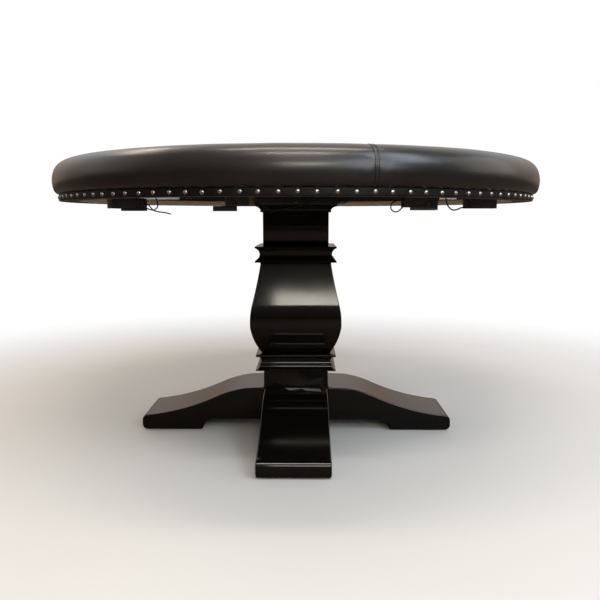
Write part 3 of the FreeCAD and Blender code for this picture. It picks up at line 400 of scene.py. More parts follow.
FINISHES = (
    Finish(
        "rail_vinyl", (0.0066, 0.0051, 0.0043), (0.0108, 0.0085, 0.0071), (0.26, 0.36),
        Grain.PEBBLED, depth=0.4, coat=0.5,
    ),
    Finish(
        "band_vinyl", (0.0040, 0.0034, 0.0029), (0.0070, 0.0058, 0.0049), (0.42, 0.54),
        Grain.PEBBLED, specular=0.25,
    ),
    Finish("upholstery_foam", (0.66, 0.60, 0.42), (0.45, 0.38, 0.22), (0.85, 0.95), Grain.FOAMED),
    Finish("birch_ply", (0.34, 0.22, 0.13), (0.18, 0.10, 0.055), (0.5, 0.7), Grain.PLYWOOD),
    Finish(
        "nickel", (0.80, 0.73, 0.66), (0.62, 0.54, 0.46), (0.24, 0.36), Grain.POLISHED, metallic=1.0, depth=0.35
    ),
    Finish(
        "speed_cloth", (0.012, 0.062, 0.034), (0.020, 0.085, 0.048), (0.78, 0.92),
        Grain.WOVEN, specular=0.2, sheen=0.1,
    ),
    Finish(
        "aluminium_profile", (0.66, 0.66, 0.67), (0.52, 0.52, 0.53), (0.24, 0.38), Grain.BRUSHED, metallic=1.0
    ),
    Finish("light_strip", (0.80, 0.79, 0.75), (0.68, 0.66, 0.60), (0.4, 0.55), Grain.STRIP),
    Finish("opal_diffuser", (0.82, 0.82, 0.80), (0.74, 0.74, 0.71), (0.32, 0.45), Grain.OPAL),
    Finish("zinc_steel", (0.58, 0.58, 0.57), (0.42, 0.42, 0.41), (0.25, 0.45), Grain.SPANGLED, metallic=1.0),
    Finish("black_steel", (0.013, 0.013, 0.013), (0.022, 0.021, 0.020), (0.35, 0.5), Grain.ENAMELLED),
    Finish(
        "black_lacquer", (0.0030, 0.0026, 0.0021), (0.0050, 0.0042, 0.0034), (0.05, 0.11),
        Grain.LACQUERED, depth=0.08,
    ),
    Finish("felt_glide", (0.020, 0.020, 0.020), (0.035, 0.034, 0.032), (0.8, 0.95), Grain.MOULDED, depth=4),
    Finish("case_plastic", (0.010, 0.010, 0.0105), (0.016, 0.016, 0.0165), (0.38, 0.52), Grain.MOULDED),
    Finish("terminal_plastic", (0.012, 0.012, 0.013), (0.020, 0.020, 0.021), (0.30, 0.42), Grain.MOULDED),
    Finish("bracket_steel", (0.36, 0.35, 0.33), (0.25, 0.24, 0.22), (0.3, 0.45), Grain.BRUSHED, metallic=1.0),
    Finish(
        "button_plastic", (0.035, 0.030, 0.030), (0.050, 0.042, 0.040), (0.2, 0.3), Grain.MOULDED, depth=0.5
    ),
    Finish("circuit_board", (0.010, 0.090, 0.035), (0.025, 0.16, 0.06), (0.25, 0.4), Grain.CIRCUIT),
    Finish(
        "lead_jacket", (0.0045, 0.0045, 0.0048), (0.009, 0.009, 0.0095), (0.45, 0.6),
        Grain.MOULDED, specular=0.25,
    ),
    Finish("grommet_rubber", (0.012, 0.012, 0.012), (0.020, 0.020, 0.020), (0.6, 0.75), Grain.MOULDED),
    # Deck ply: its downward faces are near-black.
    Finish(
        "deck_ply_dark_below", (0.30, 0.19, 0.11), (0.16, 0.09, 0.05), (0.7, 0.9),
        Grain.PLYWOOD, specular=0.12, below=(0.005, 0.0045, 0.004),
    ),
    # Base ring: the darker brown on its downward faces is painted shade under the ring.
    Finish(
        "ring_ply_painted_shade_below", (0.62, 0.46, 0.34), (0.42, 0.28, 0.19), (0.6, 0.8),
        Grain.PLYWOOD, specular=0.25, below=(0.090, 0.062, 0.045),
    ),
    # Mounting cleat under the deck: near-black.
    Finish("cleat_near_black", (0.0050, 0.0045, 0.0040), (0.0095, 0.0085, 0.0075), (0.5, 0.7), Grain.LACQUERED),
    Finish("dark_screw", (0.06, 0.06, 0.06), (0.03, 0.03, 0.03), (0.35, 0.5), Grain.SPANGLED, metallic=1.0),
    Finish(
        "stitching", (0.0030, 0.0028, 0.0026), (0.0060, 0.0055, 0.0050), (0.85, 0.95),
        Grain.THREADED, specular=0.0,
    ),
    Finish("copper_pad", (0.72, 0.33, 0.17), (0.55, 0.24, 0.12), (0.25, 0.4), Grain.POLISHED, metallic=1.0),
)
OWN_LOOKS = {"table_deck": "deck_ply_dark_below", "base_ring": "ring_ply_painted_shade_below", "mounting_cleat": "cleat_near_black"}


@dataclass
class Palette:
    """The materials made from the finishes, by name."""

    made: dict[str, bpy.types.Material] = field(default_factory=dict)

    def build(self) -> None:
        """Make every material."""
        self.made = {finish.slot: FinishShader(finish).material for finish in FINISHES}

    def dress(self, piece: bpy.types.Object, look: str) -> None:
        """Give a piece one finish."""
        piece.data.materials.clear()
        piece.data.materials.append(self.made[look])

    def dress_frame(self) -> None:
        """Give every carried-over CAD node its finish."""
        for node, slot in SLOTS.items():
            self.dress(frame["nodes"][node], OWN_LOOKS.get(node, slot))
        LOG.info("dressed %d nodes", len(SLOTS))


PALETTE = Palette()


# ---- shared mesh work


def linked(name: str, data: bpy.types.ID) -> bpy.types.Object:
    """Put a new object in the scene.

    Args:
        name: Its name.
        data: Its mesh, curve, lamp or camera.

    Returns:
        The object.
    """
    made = bpy.data.objects.new(name, data)
    bpy.context.scene.collection.objects.link(made)
    return made


def smoothed(mesh: bpy.types.Mesh, prepare: Callable[[bmesh.types.BMesh], object]) -> None:
    """Prepare a mesh and shade it smooth.

    Args:
        mesh: The mesh.
        prepare: What is done to it first.
    """
    work = bmesh.new()
    work.from_mesh(mesh)
    prepare(work)
    for face in work.faces:
        face.smooth = True
    work.to_mesh(mesh)
    work.free()


def mesh_object(name: str, points: Iterable[Triple], faces: Iterable[Sequence[int]]) -> bpy.types.Object:
    """Smooth mesh object at the origin, with its faces turned outwards.

    Args:
        name: Name of the piece.
        points: Its vertices.
        faces: Its faces, as indices.

    Returns:
        The linked object.
    """
    mesh = bpy.data.meshes.new(name)
    mesh.from_pydata(list(points), [], list(faces))
    smoothed(mesh, lambda work: bmesh.ops.recalc_face_normals(work, faces=work.faces))
    return linked(name, mesh)


def bake_modifiers(piece: bpy.types.Object) -> None:
    """Turn a piece's modifiers into its plain mesh.

    Args:
        piece: The object.
    """
    graph = bpy.context.evaluated_depsgraph_get()
    mesh = bpy.data.meshes.new_from_object(piece.evaluated_get(graph))
    piece.modifiers.clear()
    old = piece.data
    piece.data = mesh
    mesh.name = piece.name
    if old.users == 0:
        bpy.data.meshes.remove(old)


def modify(piece: bpy.types.Object, kind: str, **settings: object) -> None:
    """Apply one modifier.

    Args:
        piece: The object.
        kind: The modifier's type.
        settings: Its properties.
    """
    modifier = piece.modifiers.new(kind.lower(), kind)
    for key, value in settings.items():
        setattr(modifier, key, value)
    bake_modifiers(piece)


def ease(piece: bpy.types.Object, width: float, segments: int, angle: float = 35.0) -> None:
    """Round a piece's hard edges, of which an edge turns at least the angle in degrees."""
    how = {"limit_method": "ANGLE", "use_clamp_overlap": True, "harden_normals": True, "miter_outer": "MITER_ARC"}
    modify(piece, "BEVEL", width=width, segments=segments, angle_limit=math.radians(angle), **how)


def finish_piece(piece: bpy.types.Object, slot: str, body: str, *nodes: str, look: Optional[str] = None) -> None:
    """Dress a piece, put it on its body and hide the nodes it stands for.

    Args:
        piece: The object.
        slot: The record's material slot.
        body: CAD body that it rides on.
        nodes: CAD nodes that it replaces.
        look: Name of its finish, if that isn't the slot's.
    """
    PALETTE.dress(piece, look or slot)
    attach(piece, body)
    if nodes:
        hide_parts(*nodes)
    LOG.info("%s on %s", piece.name, body)


def polar(radius: float, angle: float, height: float) -> Triple:
    """Point at a radius and angle about the table's axis."""
    return (radius * math.cos(angle), radius * math.sin(angle), height)


def turn_between(first: float, second: float) -> float:
    """Turn from the second angle to the first, the short way round."""
    return (first - second + math.pi) % FULL_TURN - math.pi


def swept_arc(start: Pair, end: Pair, radius: float, steps: int) -> list[Pair]:
    """Points of an arc after its start, up to and with its end.

    Args:
        start: First point.
        end: Last point.
        radius: Radius, positive where the arc bulges to the right of the way it runs.
        steps: Number of points.

    Returns:
        The points.
    """
    across = ((end[0] - start[0]) / 2, (end[1] - start[1]) / 2)
    half = math.hypot(*across)
    size = max(abs(radius), half)
    rise = math.sqrt(size * size - half * half) * (1 if radius > 0 else -1)
    centre = (start[0] + across[0] - across[1] / half * rise, start[1] + across[1] + across[0] / half * rise)
    first = math.atan2(start[1] - centre[1], start[0] - centre[0])
    last = math.atan2(end[1] - centre[1], end[0] - centre[0])
    turn = turn_between(last, first)
    angles = [first + turn * step / steps for step in range(1, steps + 1)]
    return [(centre[0] + size * math.cos(a), centre[1] + size * math.sin(a)) for a in angles]


def outline(corners: Sequence[Corner], steps: int = 12, closed: bool = False) -> list[Pair]:
    """Line of corners and arcs, as points.

    Args:
        corners: (x, y) or (x, y, radius of the arc to the next corner).
        steps: Points in each arc.
        closed: Whether the last corner joins the first.

    Returns:
        The points.
    """
    points: list[Pair] = [corners[0][:2]]
    follow = list(corners[1:]) + ([corners[0]] if closed else [])
    for before, after in zip(corners, follow):
        if len(before) == 3:
            points.extend(swept_arc(before[:2], after[:2], before[2], steps))
        else:
            points.append(after[:2])
    return points[:-1] if closed else points


def eased_line(points: Sequence[Pair], radius: float, turn: float = 25.0, steps: int = 3) -> list[Pair]:
    """Open line with its sharp corners rounded.

    Args:
        points: The line.
        radius: How far from a corner the rounding starts.
        turn: Smallest turn that is rounded, in degrees.
        steps: Points in a rounding.

    Returns:
        The new line.
    """
    made = [points[0]]
    for before, corner, after in zip(points, points[1:], points[2:]):
        back, ahead = Vector(before) - Vector(corner), Vector(after) - Vector(corner)
        if math.degrees(math.pi - back.angle(ahead)) < turn:
            made.append(corner)
            continue
        reach = min(radius, back.length * 0.45, ahead.length * 0.45)
        start, end = Vector(corner) + back.normalized() * reach, Vector(corner) + ahead.normalized() * reach
        for step in range(steps + 1):
            t = step / steps
            spot = start * (1 - t) ** 2 + Vector(corner) * 2 * t * (1 - t) + end * t * t
            made.append((spot.x, spot.y))
    made.append(points[-1])
    return made


def ring_faces(rows: int, columns: int, closed_rows: bool = False) -> list[tuple[int, int, int, int]]:
    """Faces of a grid whose columns close round.

    Args:
        rows: Points along a column.
        columns: Number of columns.
        closed_rows: Whether the last row joins the first.

    Returns:
        The faces, for points in column order.
    """
    faces = []
    for column in range(columns):
        other = (column + 1) % columns
        for row in range(rows if closed_rows else rows - 1):
            up = (row + 1) % rows
            faces.append((column * rows + row, other * rows + row, other * rows + up, column * rows + up))
    return faces


def smooth_step(value: float) -> float:
    """0 below 0, 1 above 1 and a smooth rise between."""
    value = max(0.0, min(1.0, value))
    return value * value * (3 - 2 * value)


def whole_faces(work: bmesh.types.BMesh) -> None:
    """Join the triangles of each flat face."""
    bmesh.ops.remove_doubles(work, verts=work.verts, dist=MERGE)
    bmesh.ops.dissolve_limit(work, angle_limit=math.radians(1), verts=work.verts, edges=work.edges)


def eased_copy(node: str, width: float) -> bpy.types.Object:
    """Copy of a CAD node, merged into whole faces and with its edges rounded.

    Args:
        node: The node.
        width: Width of the rounding.

    Returns:
        The new object, named after the node.
    """
    mesh = frame["nodes"][node].data.copy()
    mesh.name = f"{node}_eased"
    smoothed(mesh, whole_faces)
    made = linked(f"{node}_eased", mesh)
    ease(made, width, 2)
    return made


# ---- repeated small pieces


class Repeats(Nodes):
    """Geometry Nodes tree that puts one small shape on each point of a mesh.

    Each point carries "facing", the way the shape's own Z looks, and "running", the way its X runs.
    """

    family = "GeometryNode"

    def __init__(self, name: str, shape: Callable[["Repeats"], Socket]) -> None:
        """Build the tree.

        Args:
            name: Name of the tree.
            shape: Adds the nodes of the small shape and returns its geometry.
        """
        super().__init__(bpy.data.node_groups.new(name, "GeometryNodeTree"))
        interface = self.tree.interface
        interface.new_socket("Geometry", in_out="INPUT", socket_type="NodeSocketGeometry")
        interface.new_socket("Geometry", in_out="OUTPUT", socket_type="NodeSocketGeometry")
        kinds = {"Radius": "Float", "Length": "Float", "Spread": "Float", "Seed": "Int", "Finish": "Material"}
        self.sockets: dict[str, str] = {}
        for label, kind in kinds.items():
            socket = interface.new_socket(label, in_out="INPUT", socket_type=f"NodeSocket{kind}")
            self.sockets[label] = socket.identifier
        self.given = self.add("NodeGroupInput").outputs
        self._finish(shape(self))

    def direction(self, name: str) -> Socket:
        """A vector that the points carry, by name."""
        return self.add("InputNamedAttribute", {"Name": name}, data_type="FLOAT_VECTOR").outputs[0]

    def vector(self, **parts: Union[float, Socket]) -> Socket:
        """Vector of its X, Y and Z."""
        return self.add("ShaderNodeCombineXYZ", parts).outputs[0]

    def moved(self, shape: Socket, **how: Socket) -> Socket:
        """Geometry under a Scale or Translation."""
        return self.add("Transform", {"Geometry": shape, **how}).outputs[0]

    def joined(self, *parts: Socket) -> Socket:
        """Join several geometries into one.

        Args:
            parts: The geometries.

        Returns:
            The joined geometry.
        """
        join = self.add("JoinGeometry")
        for part in parts:
            self.put(join.inputs[0], part)
        return join.outputs[0]

    def _finish(self, shape: Socket) -> None:
        """Instance the shape, turn and vary each one, and make the result real.

        Args:
            shape: The small shape's geometry.
        """
        align = "FunctionNodeAlignRotationToVector"
        turned = self.add(align, {"Vector": self.direction("facing")}, axis="Z").outputs[0]
        inputs = {"Rotation": turned, "Vector": self.direction("running")}
        turned = self.add(align, inputs, axis="X", pivot_axis="Z").outputs[0]
        size = self.add("FunctionNodeRandomValue", {"Seed": self.given["Seed"]}, data_type="FLOAT")
        limits = [socket for socket in size.inputs if socket.type == "VALUE" and socket.enabled]
        for socket, operation in zip(limits, ("SUBTRACT", "ADD")):
            self.put(socket, self.math(operation, 1.0, self.given["Spread"]))
        value = next(socket for socket in size.outputs if socket.enabled)
        points = self.add("MeshToPoints", {"Mesh": self.given["Geometry"]}).outputs[0]
        inputs = {"Points": points, "Instance": shape, "Rotation": turned, "Scale": value}
        real = self.add("RealizeInstances", {0: self.add("InstanceOnPoints", inputs).outputs[0]}).outputs[0]
        smooth = self.add("SetShadeSmooth", {0: real}).outputs[0]
        dressed = self.add("SetMaterial", {"Geometry": smooth, "Material": self.given["Finish"]}).outputs[0]
        self.add("NodeGroupOutput", {0: dressed})

    def make(
        self,
        name: str,
        places: Sequence[Place],
        sizes: Pair,
        slot: str,
        *nodes: str,
        look: Optional[str] = None,
        spread: float = 0.0,
        seed: int = 1,
    ) -> None:
        """Make and finish one piece of many of the small shape.

        Args:
            name: Name of the piece.
            places: (place, facing, running) of each.
            sizes: Radius of the shape, and its length or height.
            slot: The record's material slot.
            nodes: CAD nodes that the piece replaces.
            look: Name of its finish, if that isn't the slot's.
            spread: How much the shape's size varies, as a share.
            seed: Seed of that variation.
        """
        mesh = bpy.data.meshes.new(name)
        mesh.from_pydata([tuple(place) for place, _, _ in places], [], [])
        for index, label in enumerate(("facing", "running"), 1):
            layer = mesh.attributes.new(label, "FLOAT_VECTOR", "POINT")
            layer.data.foreach_set("vector", [value for entry in places for value in entry[index]])
        made = linked(name, mesh)
        modifier = made.modifiers.new(name, "NODES")
        modifier.node_group = self.tree
        values = (*sizes, spread, seed, PALETTE.made[look or slot])
        for socket, value in zip(self.sockets.values(), values):
            modifier[socket] = value
        bake_modifiers(made)
        finish_piece(made, slot, TABLE, *nodes, look=look)


def nail_shape(tree: Repeats) -> Socket:
    """Domed head of an upholstery nail, with a thin rim where it beds into the vinyl.

    Args:
        tree: The tree to add to.

    Returns:
        The shape's geometry.
    """
    radius = tree.given["Radius"]
    ball = tree.add("MeshUVSphere", {"Segments": 16, "Rings": 10, "Radius": radius}).outputs["Mesh"]
    height = tree.axis(tree.add("InputPosition").outputs[0], "Z")
    hidden = tree.add("FunctionNodeCompare", {0: height, 1: -0.0001}, operation="LESS_THAN").outputs[0]
    cut = tree.add("DeleteGeometry", {"Geometry": ball, "Selection": hidden}).outputs[0]
    squash = tree.vector(X=1.0, Y=1.0, Z=tree.math("DIVIDE", tree.given["Length"], radius))
    depth = tree.times(radius, 0.12)
    rim = tree.add("MeshCylinder", {"Vertices": 16, "Radius": radius, "Depth": depth}).outputs["Mesh"]
    return tree.joined(tree.moved(cut, Scale=squash), rim)


def stitch_shape(tree: Repeats) -> Socket:
    """One stitch: a short thread along X whose ends dip into the vinyl.

    Args:
        tree: The tree to add to.

    Returns:
        The shape's geometry.
    """
    radius, half = tree.given["Radius"], tree.times(tree.given["Length"], 0.5)
    ball = tree.add("MeshUVSphere", {"Segments": 8, "Rings": 6, "Radius": 1.0}).outputs["Mesh"]
    return tree.moved(ball, Scale=tree.vector(X=half, Y=radius, Z=radius))


def screw_shape(tree: Repeats) -> Socket:
    """Pan head of a screw, with a cross recess cut into it.

    Args:
        tree: The tree to add to.

    Returns:
        The shape's geometry.
    """
    radius, height = tree.given["Radius"], tree.given["Length"]
    low, crown = tree.times(height, 0.5), tree.times(radius, 0.45)
    base = tree.add("MeshCylinder", {"Vertices": 20, "Radius": radius, "Depth": low}).outputs["Mesh"]
    base = tree.moved(base, Translation=tree.vector(Z=tree.times(height, 0.25)))
    inputs = {"Vertices": 20, "Radius Bottom": radius, "Radius Top": crown, "Depth": low}
    top = tree.moved(tree.add("MeshCone", inputs).outputs["Mesh"], Translation=tree.vector(Z=low))
    whole = tree.joined(base, top)
    lift = tree.vector(Z=tree.times(height, 1.15))
    for along, across in ((1.1, 0.22), (0.22, 1.1)):
        sides = (tree.times(radius, along), tree.times(radius, across))
        bar = tree.add("MeshCube", {"Size": tree.vector(X=sides[0], Y=sides[1], Z=height)}).outputs["Mesh"]
        inputs = {"Mesh 1": whole, "Mesh 2": tree.moved(bar, Translation=lift)}
        whole = tree.add("MeshBoolean", inputs, operation="DIFFERENCE").outputs["Mesh"]
    return whole


# ---- padded rail


# How far from a seam its columns are, each way.
SEAM_COLUMNS = (
    *(0, 0.0005, 0.0011, 0.002, 0.0029, 0.0034, 0.0039, 0.0044, 0.0050, 0.0058),
    *(0.007, 0.0085, 0.0105, 0.013, 0.016, 0.0195, 0.0235, 0.028, 0.033, 0.039),
)


@dataclass
class PaddedRail:
    """Rail of foam under vinyl, with a top-stitched seam at each quarter."""

    outer: float = 0.6893
    inner: float = 0.5605
    low: float = 0.6984
    crown: float = 0.420
    shoulder: float = 0.045
    belly: float = 0.0722
    under_round: float = 0.017
    inner_round: float = 0.028
    under_turn: float = math.radians(18)
    upper_turn: float = math.radians(20)
    crown_turn: float = math.radians(84)
    bed: float = 0.6553
    deck_top: float = 0.7164
    core_inner: float = 0.5817
    core_top: float = 0.7528
    columns: int = 330
    row_pitch: float = 0.0052
    seam_reach: float = 0.09
    seam_angles: tuple[float, ...] = tuple(math.radians(-75.55 + 90 * turn) for turn in range(4))
    strip_half: float = 0.0042
    strip_rise: float = 0.0003
    groove: float = 0.0002
    stitch_pitch: float = 0.0056
    stitch_length: float = 0.0028
    stitch_radius: float = 0.0012
    slow_rise: float = 0.0011
    ripple_rise: float = 0.00035
    pleat_rise: float = 0.0011
    pucker_rise: float = 0.0009
    seam_dip: float = 0.0006
    split_dip: float = 0.0005
    crease_half: float = 0.0011
    clear_of_seam: float = 0.045
    section: list[Pair] = field(default_factory=list)
    ways_out: list[Pair] = field(default_factory=list)
    reach: list[float] = field(default_factory=list)

    def lay_out(self) -> None:
        """Work out the rail's section, from under its outer edge, over the crown and down to the well."""
        under, upper, crown = self.under_turn, self.upper_turn, self.crown_turn
        foot = (self.outer - self.belly * (1 - math.cos(under)), self.low + self.under_round * (1 - math.sin(under)))
        brow = (
            self.outer - self.belly * (1 - math.cos(upper)),
            foot[1] + self.belly * (math.sin(under) + math.sin(upper)),
        )
        edge = (
            brow[0] - self.shoulder * (math.cos(upper) - math.cos(crown)),
            brow[1] + self.shoulder * (math.sin(crown) - math.sin(upper)),
        )
        corners = (
            (self.bed, self.low),
            (foot[0] - self.under_round * math.cos(under), self.low, self.under_round),
            (*foot, self.belly),
            (*brow, self.shoulder),
            (*edge, self.crown),
            (self.inner + self.inner_round, edge[1], self.inner_round),
            (self.inner, edge[1] - self.inner_round),
            (self.inner, self.deck_top + 0.0002),
        )
        self.section = self._even(outline(corners, steps=10), self.row_pitch)
        last = len(self.section) - 1
        for index in range(last + 1):
            before, after = self.section[max(0, index - 1)], self.section[min(last, index + 1)]
            run = (after[0] - before[0], after[1] - before[1])
            size = math.hypot(*run)
            self.ways_out.append((run[1] / size, -run[0] / size))
        steps = (math.dist(first, second) for first, second in zip(self.section, self.section[1:]))
        self.reach = [0.0, *accumulate(steps)]

    @staticmethod
    def _even(points: Sequence[Pair], step: float) -> list[Pair]:
        """Divide a line's long runs into short ones.

        Args:
            points: The line.
            step: Length of a short run.

        Returns:
            The new line.
        """
        made = [points[0]]
        for before, after in zip(points, points[1:]):
            parts = max(1, round(math.dist(before, after) / step))
            for share in (part / parts for part in range(1, parts + 1)):
                made.append((before[0] + (after[0] - before[0]) * share, before[1] + (after[1] - before[1]) * share))
        return made

    def gap(self, angle: float) -> float:
        """Way along the rail's edge from an angle to the nearest seam."""
        return min(abs(turn_between(angle, seam)) for seam in self.seam_angles) * self.outer

    def relief(self, angle: float, index: int) -> float:
        """How far the vinyl stands out of the plain section.

        Args:
            angle: Angle round the table.
            index: Point of the section.

        Returns:
            The rise, negative where it dips.
        """
        along, total = self.reach[index], self.reach[-1]
        fade = smooth_step(min(along, total - along) / 0.02)
        spot = Vector((math.cos(angle), math.sin(angle), 0))
        slow = noise.noise(spot * 2.3 + Vector((0, 0, along * 6))) * self.slow_rise
        ripple = noise.noise(spot * 11 + Vector((7, 3, along * 14))) * self.ripple_rise
        pleat = noise.noise(Vector((angle * 26, 3.1, along * 4))) * math.exp(-along / 0.016) * self.pleat_rise
        rise = (slow + ripple) * fade + pleat * smooth_step(along / 0.004)
        gap = self.gap(angle)
        if gap < self.seam_reach:
            pucker = noise.noise(Vector((gap * 60, along * 95, 1.7))) * math.exp(-gap / 0.018)
            rise += (pucker * self.pucker_rise - self.seam_dip * math.exp(-((gap / 0.03) ** 2))) * fade
            edge = gap - self.strip_half
            strip = 1 - smooth_step((edge + self.crease_half) / self.crease_half)
            crease = math.exp(-((edge / self.crease_half) ** 2))
            split = math.exp(-((gap / 0.0006) ** 2))
            rise += (self.strip_rise * strip - self.groove * crease - self.split_dip * split) * fade
        return rise

    def spot(self, angle: float, index: int, lift: float = 0.0) -> Triple:
        """Point on the vinyl.

        Args:
            angle: Angle round the table.
            index: Point of the section.
            lift: Height over the vinyl.

        Returns:
            The point.
        """
        out = self.relief(angle, index) + lift
        (radius, height), (outward, upward) = self.section[index], self.ways_out[index]
        return polar(radius + outward * out, angle, height + upward * out)

    def angles(self) -> list[float]:
        """Choose the columns, close together at the seams.

        Returns:
            Their angles round the table, in order.
        """
        plain = (FULL_TURN * step / self.columns for step in range(self.columns))
        made = {round(angle, 7) for angle in plain if self.gap(angle) > self.clear_of_seam}
        for seam in self.seam_angles:
            for offset in (side * way / self.outer for way in SEAM_COLUMNS for side in (-1, 1)):
                made.add(round((seam + offset) % FULL_TURN, 7))
        return sorted(made)

    def build(self) -> None:
        """Make the rail and its stitches."""
        self.lay_out()
        angles = self.angles()
        hidden = (
            (self.core_inner, self.deck_top + 0.0002),
            (self.core_inner, self.core_top),
            (self.bed, self.core_top),
        )
        points: list[Triple] = []
        for angle in angles:
            points.extend(self.spot(angle, index) for index in range(len(self.section)))
            points.extend(polar(radius, angle, height) for radius, height in hidden)
        rows = len(self.section) + len(hidden)
        rail = mesh_object("padded_rail", points, ring_faces(rows, len(angles), closed_rows=True))
        finish_piece(rail, "rail_vinyl", TABLE, "rail_cover", "rail_cushion")
        self._stitch()

    def _stitch(self) -> None:
        """Sew two lines of stitches along each seam."""
        places = []
        for seam in self.seam_angles:
            for side in (-1, 1):
                angle = seam + side * self.strip_half / self.outer
                line = [Vector(self.spot(angle, index, 0.0001)) for index in range(2, len(self.section) - 2)]
                places.extend(self._places(line, angle))
        sizes = (self.stitch_radius, self.stitch_length)
        tree = Repeats("seam_stitches", stitch_shape)
        tree.make("rail_stitches", places, sizes, "rail_vinyl", look="stitching", spread=0.08, seed=5)

    def _places(self, line: Sequence[Vector], angle: float) -> list[Place]:
        """Places along a line on the rail, a stitch apart.

        Args:
            line: Points of the seam.
            angle: Angle of the seam round the table.

        Returns:
            (place, facing, running) of each stitch.
        """
        tangent = Vector((-math.sin(angle), math.cos(angle), 0))
        made = []
        left = self.stitch_pitch
        for before, after in zip(line, line[1:]):
            run = after - before
            while left < run.length:
                place = before + run * (left / run.length)
                made.append((place, run.cross(tangent).normalized(), run.normalized()))
                left += self.stitch_pitch
            left -= run.length
        return made


# ---- apron


@dataclass
class NailedApron:
    """Vinyl band round the apron ring, held by a row of domed nails."""

    count: int = 108
    wobble: float = 0.0016
    dimple: float = 0.0006
    dimple_half: float = 0.0072
    puff: float = 0.0006
    sag: float = 0.0003
    wave: float = 0.0003
    round_off: float = 0.0012
    nail_sizes: Pair = (0.0052, 0.0032)
    columns_per_nail: int = 10
    seed: int = 11
    outer: float = 0.0
    low: float = 0.0
    high: float = 0.0
    places: list[Pair] = field(default_factory=list)

    def build(self) -> None:
        """Make the band and its nails."""
        low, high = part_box("band_wrap")
        self.outer, self.low, self.high = high.x, low.z, high.z
        self._space()
        self._wrap()
        self._nail()

    def _space(self) -> None:
        """Choose where the nails go, a little unevenly as by hand."""
        draw = random.Random(self.seed)
        for index in range(self.count):
            angle = FULL_TURN * (index + 0.35) / self.count + draw.uniform(-1, 1) * self.wobble / self.outer
            self.places.append((angle, (self.low + self.high) / 2 + draw.uniform(-1, 1) * self.wobble * 0.3))

    def _section(self) -> list[Pair]:
        """Work out the band's section.

        Returns:
            (share of the band's thickness, height) of each point.
        """
        low, high, off, steps = self.low, self.high, self.round_off, 8
        flat = [(1.0, low + off + (high - low - 2 * off) * step / steps) for step in range(1, steps)]
        foot = [(0.0, low + 0.0002), (0.35, low), (0.8, low + off * 0.3), (1.0, low + off)]
        return foot + flat + [(1.0, high - off), (0.8, high - off * 0.3), (0.35, high), (0.0, high - 0.0002)]

    def _wrap(self) -> None:
        """Make the band, drawn in at each nail and full between them."""
        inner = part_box("base_ring")[1].x + 0.0001
        section = self._section()
        columns = self.count * self.columns_per_nail
        points: list[Triple] = []
        for angle in (FULL_TURN * column / columns for column in range(columns)):
            nail, middle = self.places[int(angle / FULL_TURN * self.count) % self.count]
            across = turn_between(angle, nail) * self.outer
            wave = noise.noise(Vector((math.cos(angle) * 9, math.sin(angle) * 9, 0.4))) * self.wave
            for share, level in section:
                fall = math.exp(-((math.hypot(across, level - middle) / self.dimple_half) ** 2))
                edge = smooth_step(min(level - self.low, self.high - level) / 0.005)
                shift = (self.puff * (1 - fall) * edge - self.dimple * fall + wave) * share
                hangs = level < self.low + 0.002 and share
                sag = -self.sag * (1 - math.exp(-((across / 0.011) ** 2))) if hangs else 0.0
                points.append(polar(inner + (self.outer - inner) * share + shift, angle, level + sag))
        band = mesh_object("apron_band", points, ring_faces(len(section), columns, closed_rows=True))
        finish_piece(band, "band_vinyl", TABLE, "band_wrap")

    def _nail(self) -> None:
        """Set a domed nail at each place."""
        draw = random.Random(self.seed + 1)
        places = []
        for angle, level in self.places:
            tilt = angle + draw.uniform(-0.07, 0.07)
            facing = Vector(polar(1, tilt, draw.uniform(-0.08, 0.05))).normalized()
            places.append((Vector(polar(self.outer - self.dimple, angle, level)), facing, Vector((0, 0, 1))))
        tree = Repeats("apron_nails_tree", nail_shape)
        tree.make("apron_nails", places, self.nail_sizes, "nickel", "band_nails", spread=0.03, seed=3)


# ---- playing surface


@dataclass
class PlayingSurface:
    """Cloth stretched over the lift-out board and turned down at its edge."""

    thickness: float = 0.0009
    round_off: float = 0.0035
    turned_down: float = 0.0238
    slack: float = 0.00025
    rings: int = 46
    columns: int = 220

    def build(self) -> None:
        """Make the cloth."""
        low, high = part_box("playfield_cloth")
        radius, top = high.x, high.z
        reach = radius - self.round_off
        section = [(reach * ((ring + 1) / self.rings) ** 0.92, top) for ring in range(self.rings - 1)]
        for turn in (math.radians(step) for step in range(0, 91, 18)):
            section.append((reach + self.round_off * math.sin(turn), top - self.round_off * (1 - math.cos(turn))))
        section += [(radius, top - self.turned_down * step / 3) for step in (1, 2, 3)]
        section = [(r, max(z, low.z + 0.0003)) for r, z in section]
        points: list[Triple] = [(0.0, 0.0, top - 0.0002)]
        for angle in (FULL_TURN * column / self.columns for column in range(self.columns)):
            for r, z in section:
                loose = noise.noise(Vector(polar(r, angle, 0)) * 5) - 0.6
                points.append(polar(r, angle, z + loose * self.slack * smooth_step((radius - r) / 0.03)))
        rows = len(section)
        faces: list[Sequence[int]] = [tuple(index + 1 for index in face) for face in ring_faces(rows, self.columns)]
        faces += [(0, 1 + column * rows, 1 + (column + 1) % self.columns * rows) for column in range(self.columns)]
        cloth = mesh_object("playing_cloth", points, faces)
        if sum(face.normal.z for face in cloth.data.polygons) < 0:
            cloth.data.flip_normals()
        modify(cloth, "SOLIDIFY", thickness=self.thickness, offset=-1.0)
        finish_piece(cloth, "speed_cloth", SURFACE, "playfield_cloth")


# ---- pedestal


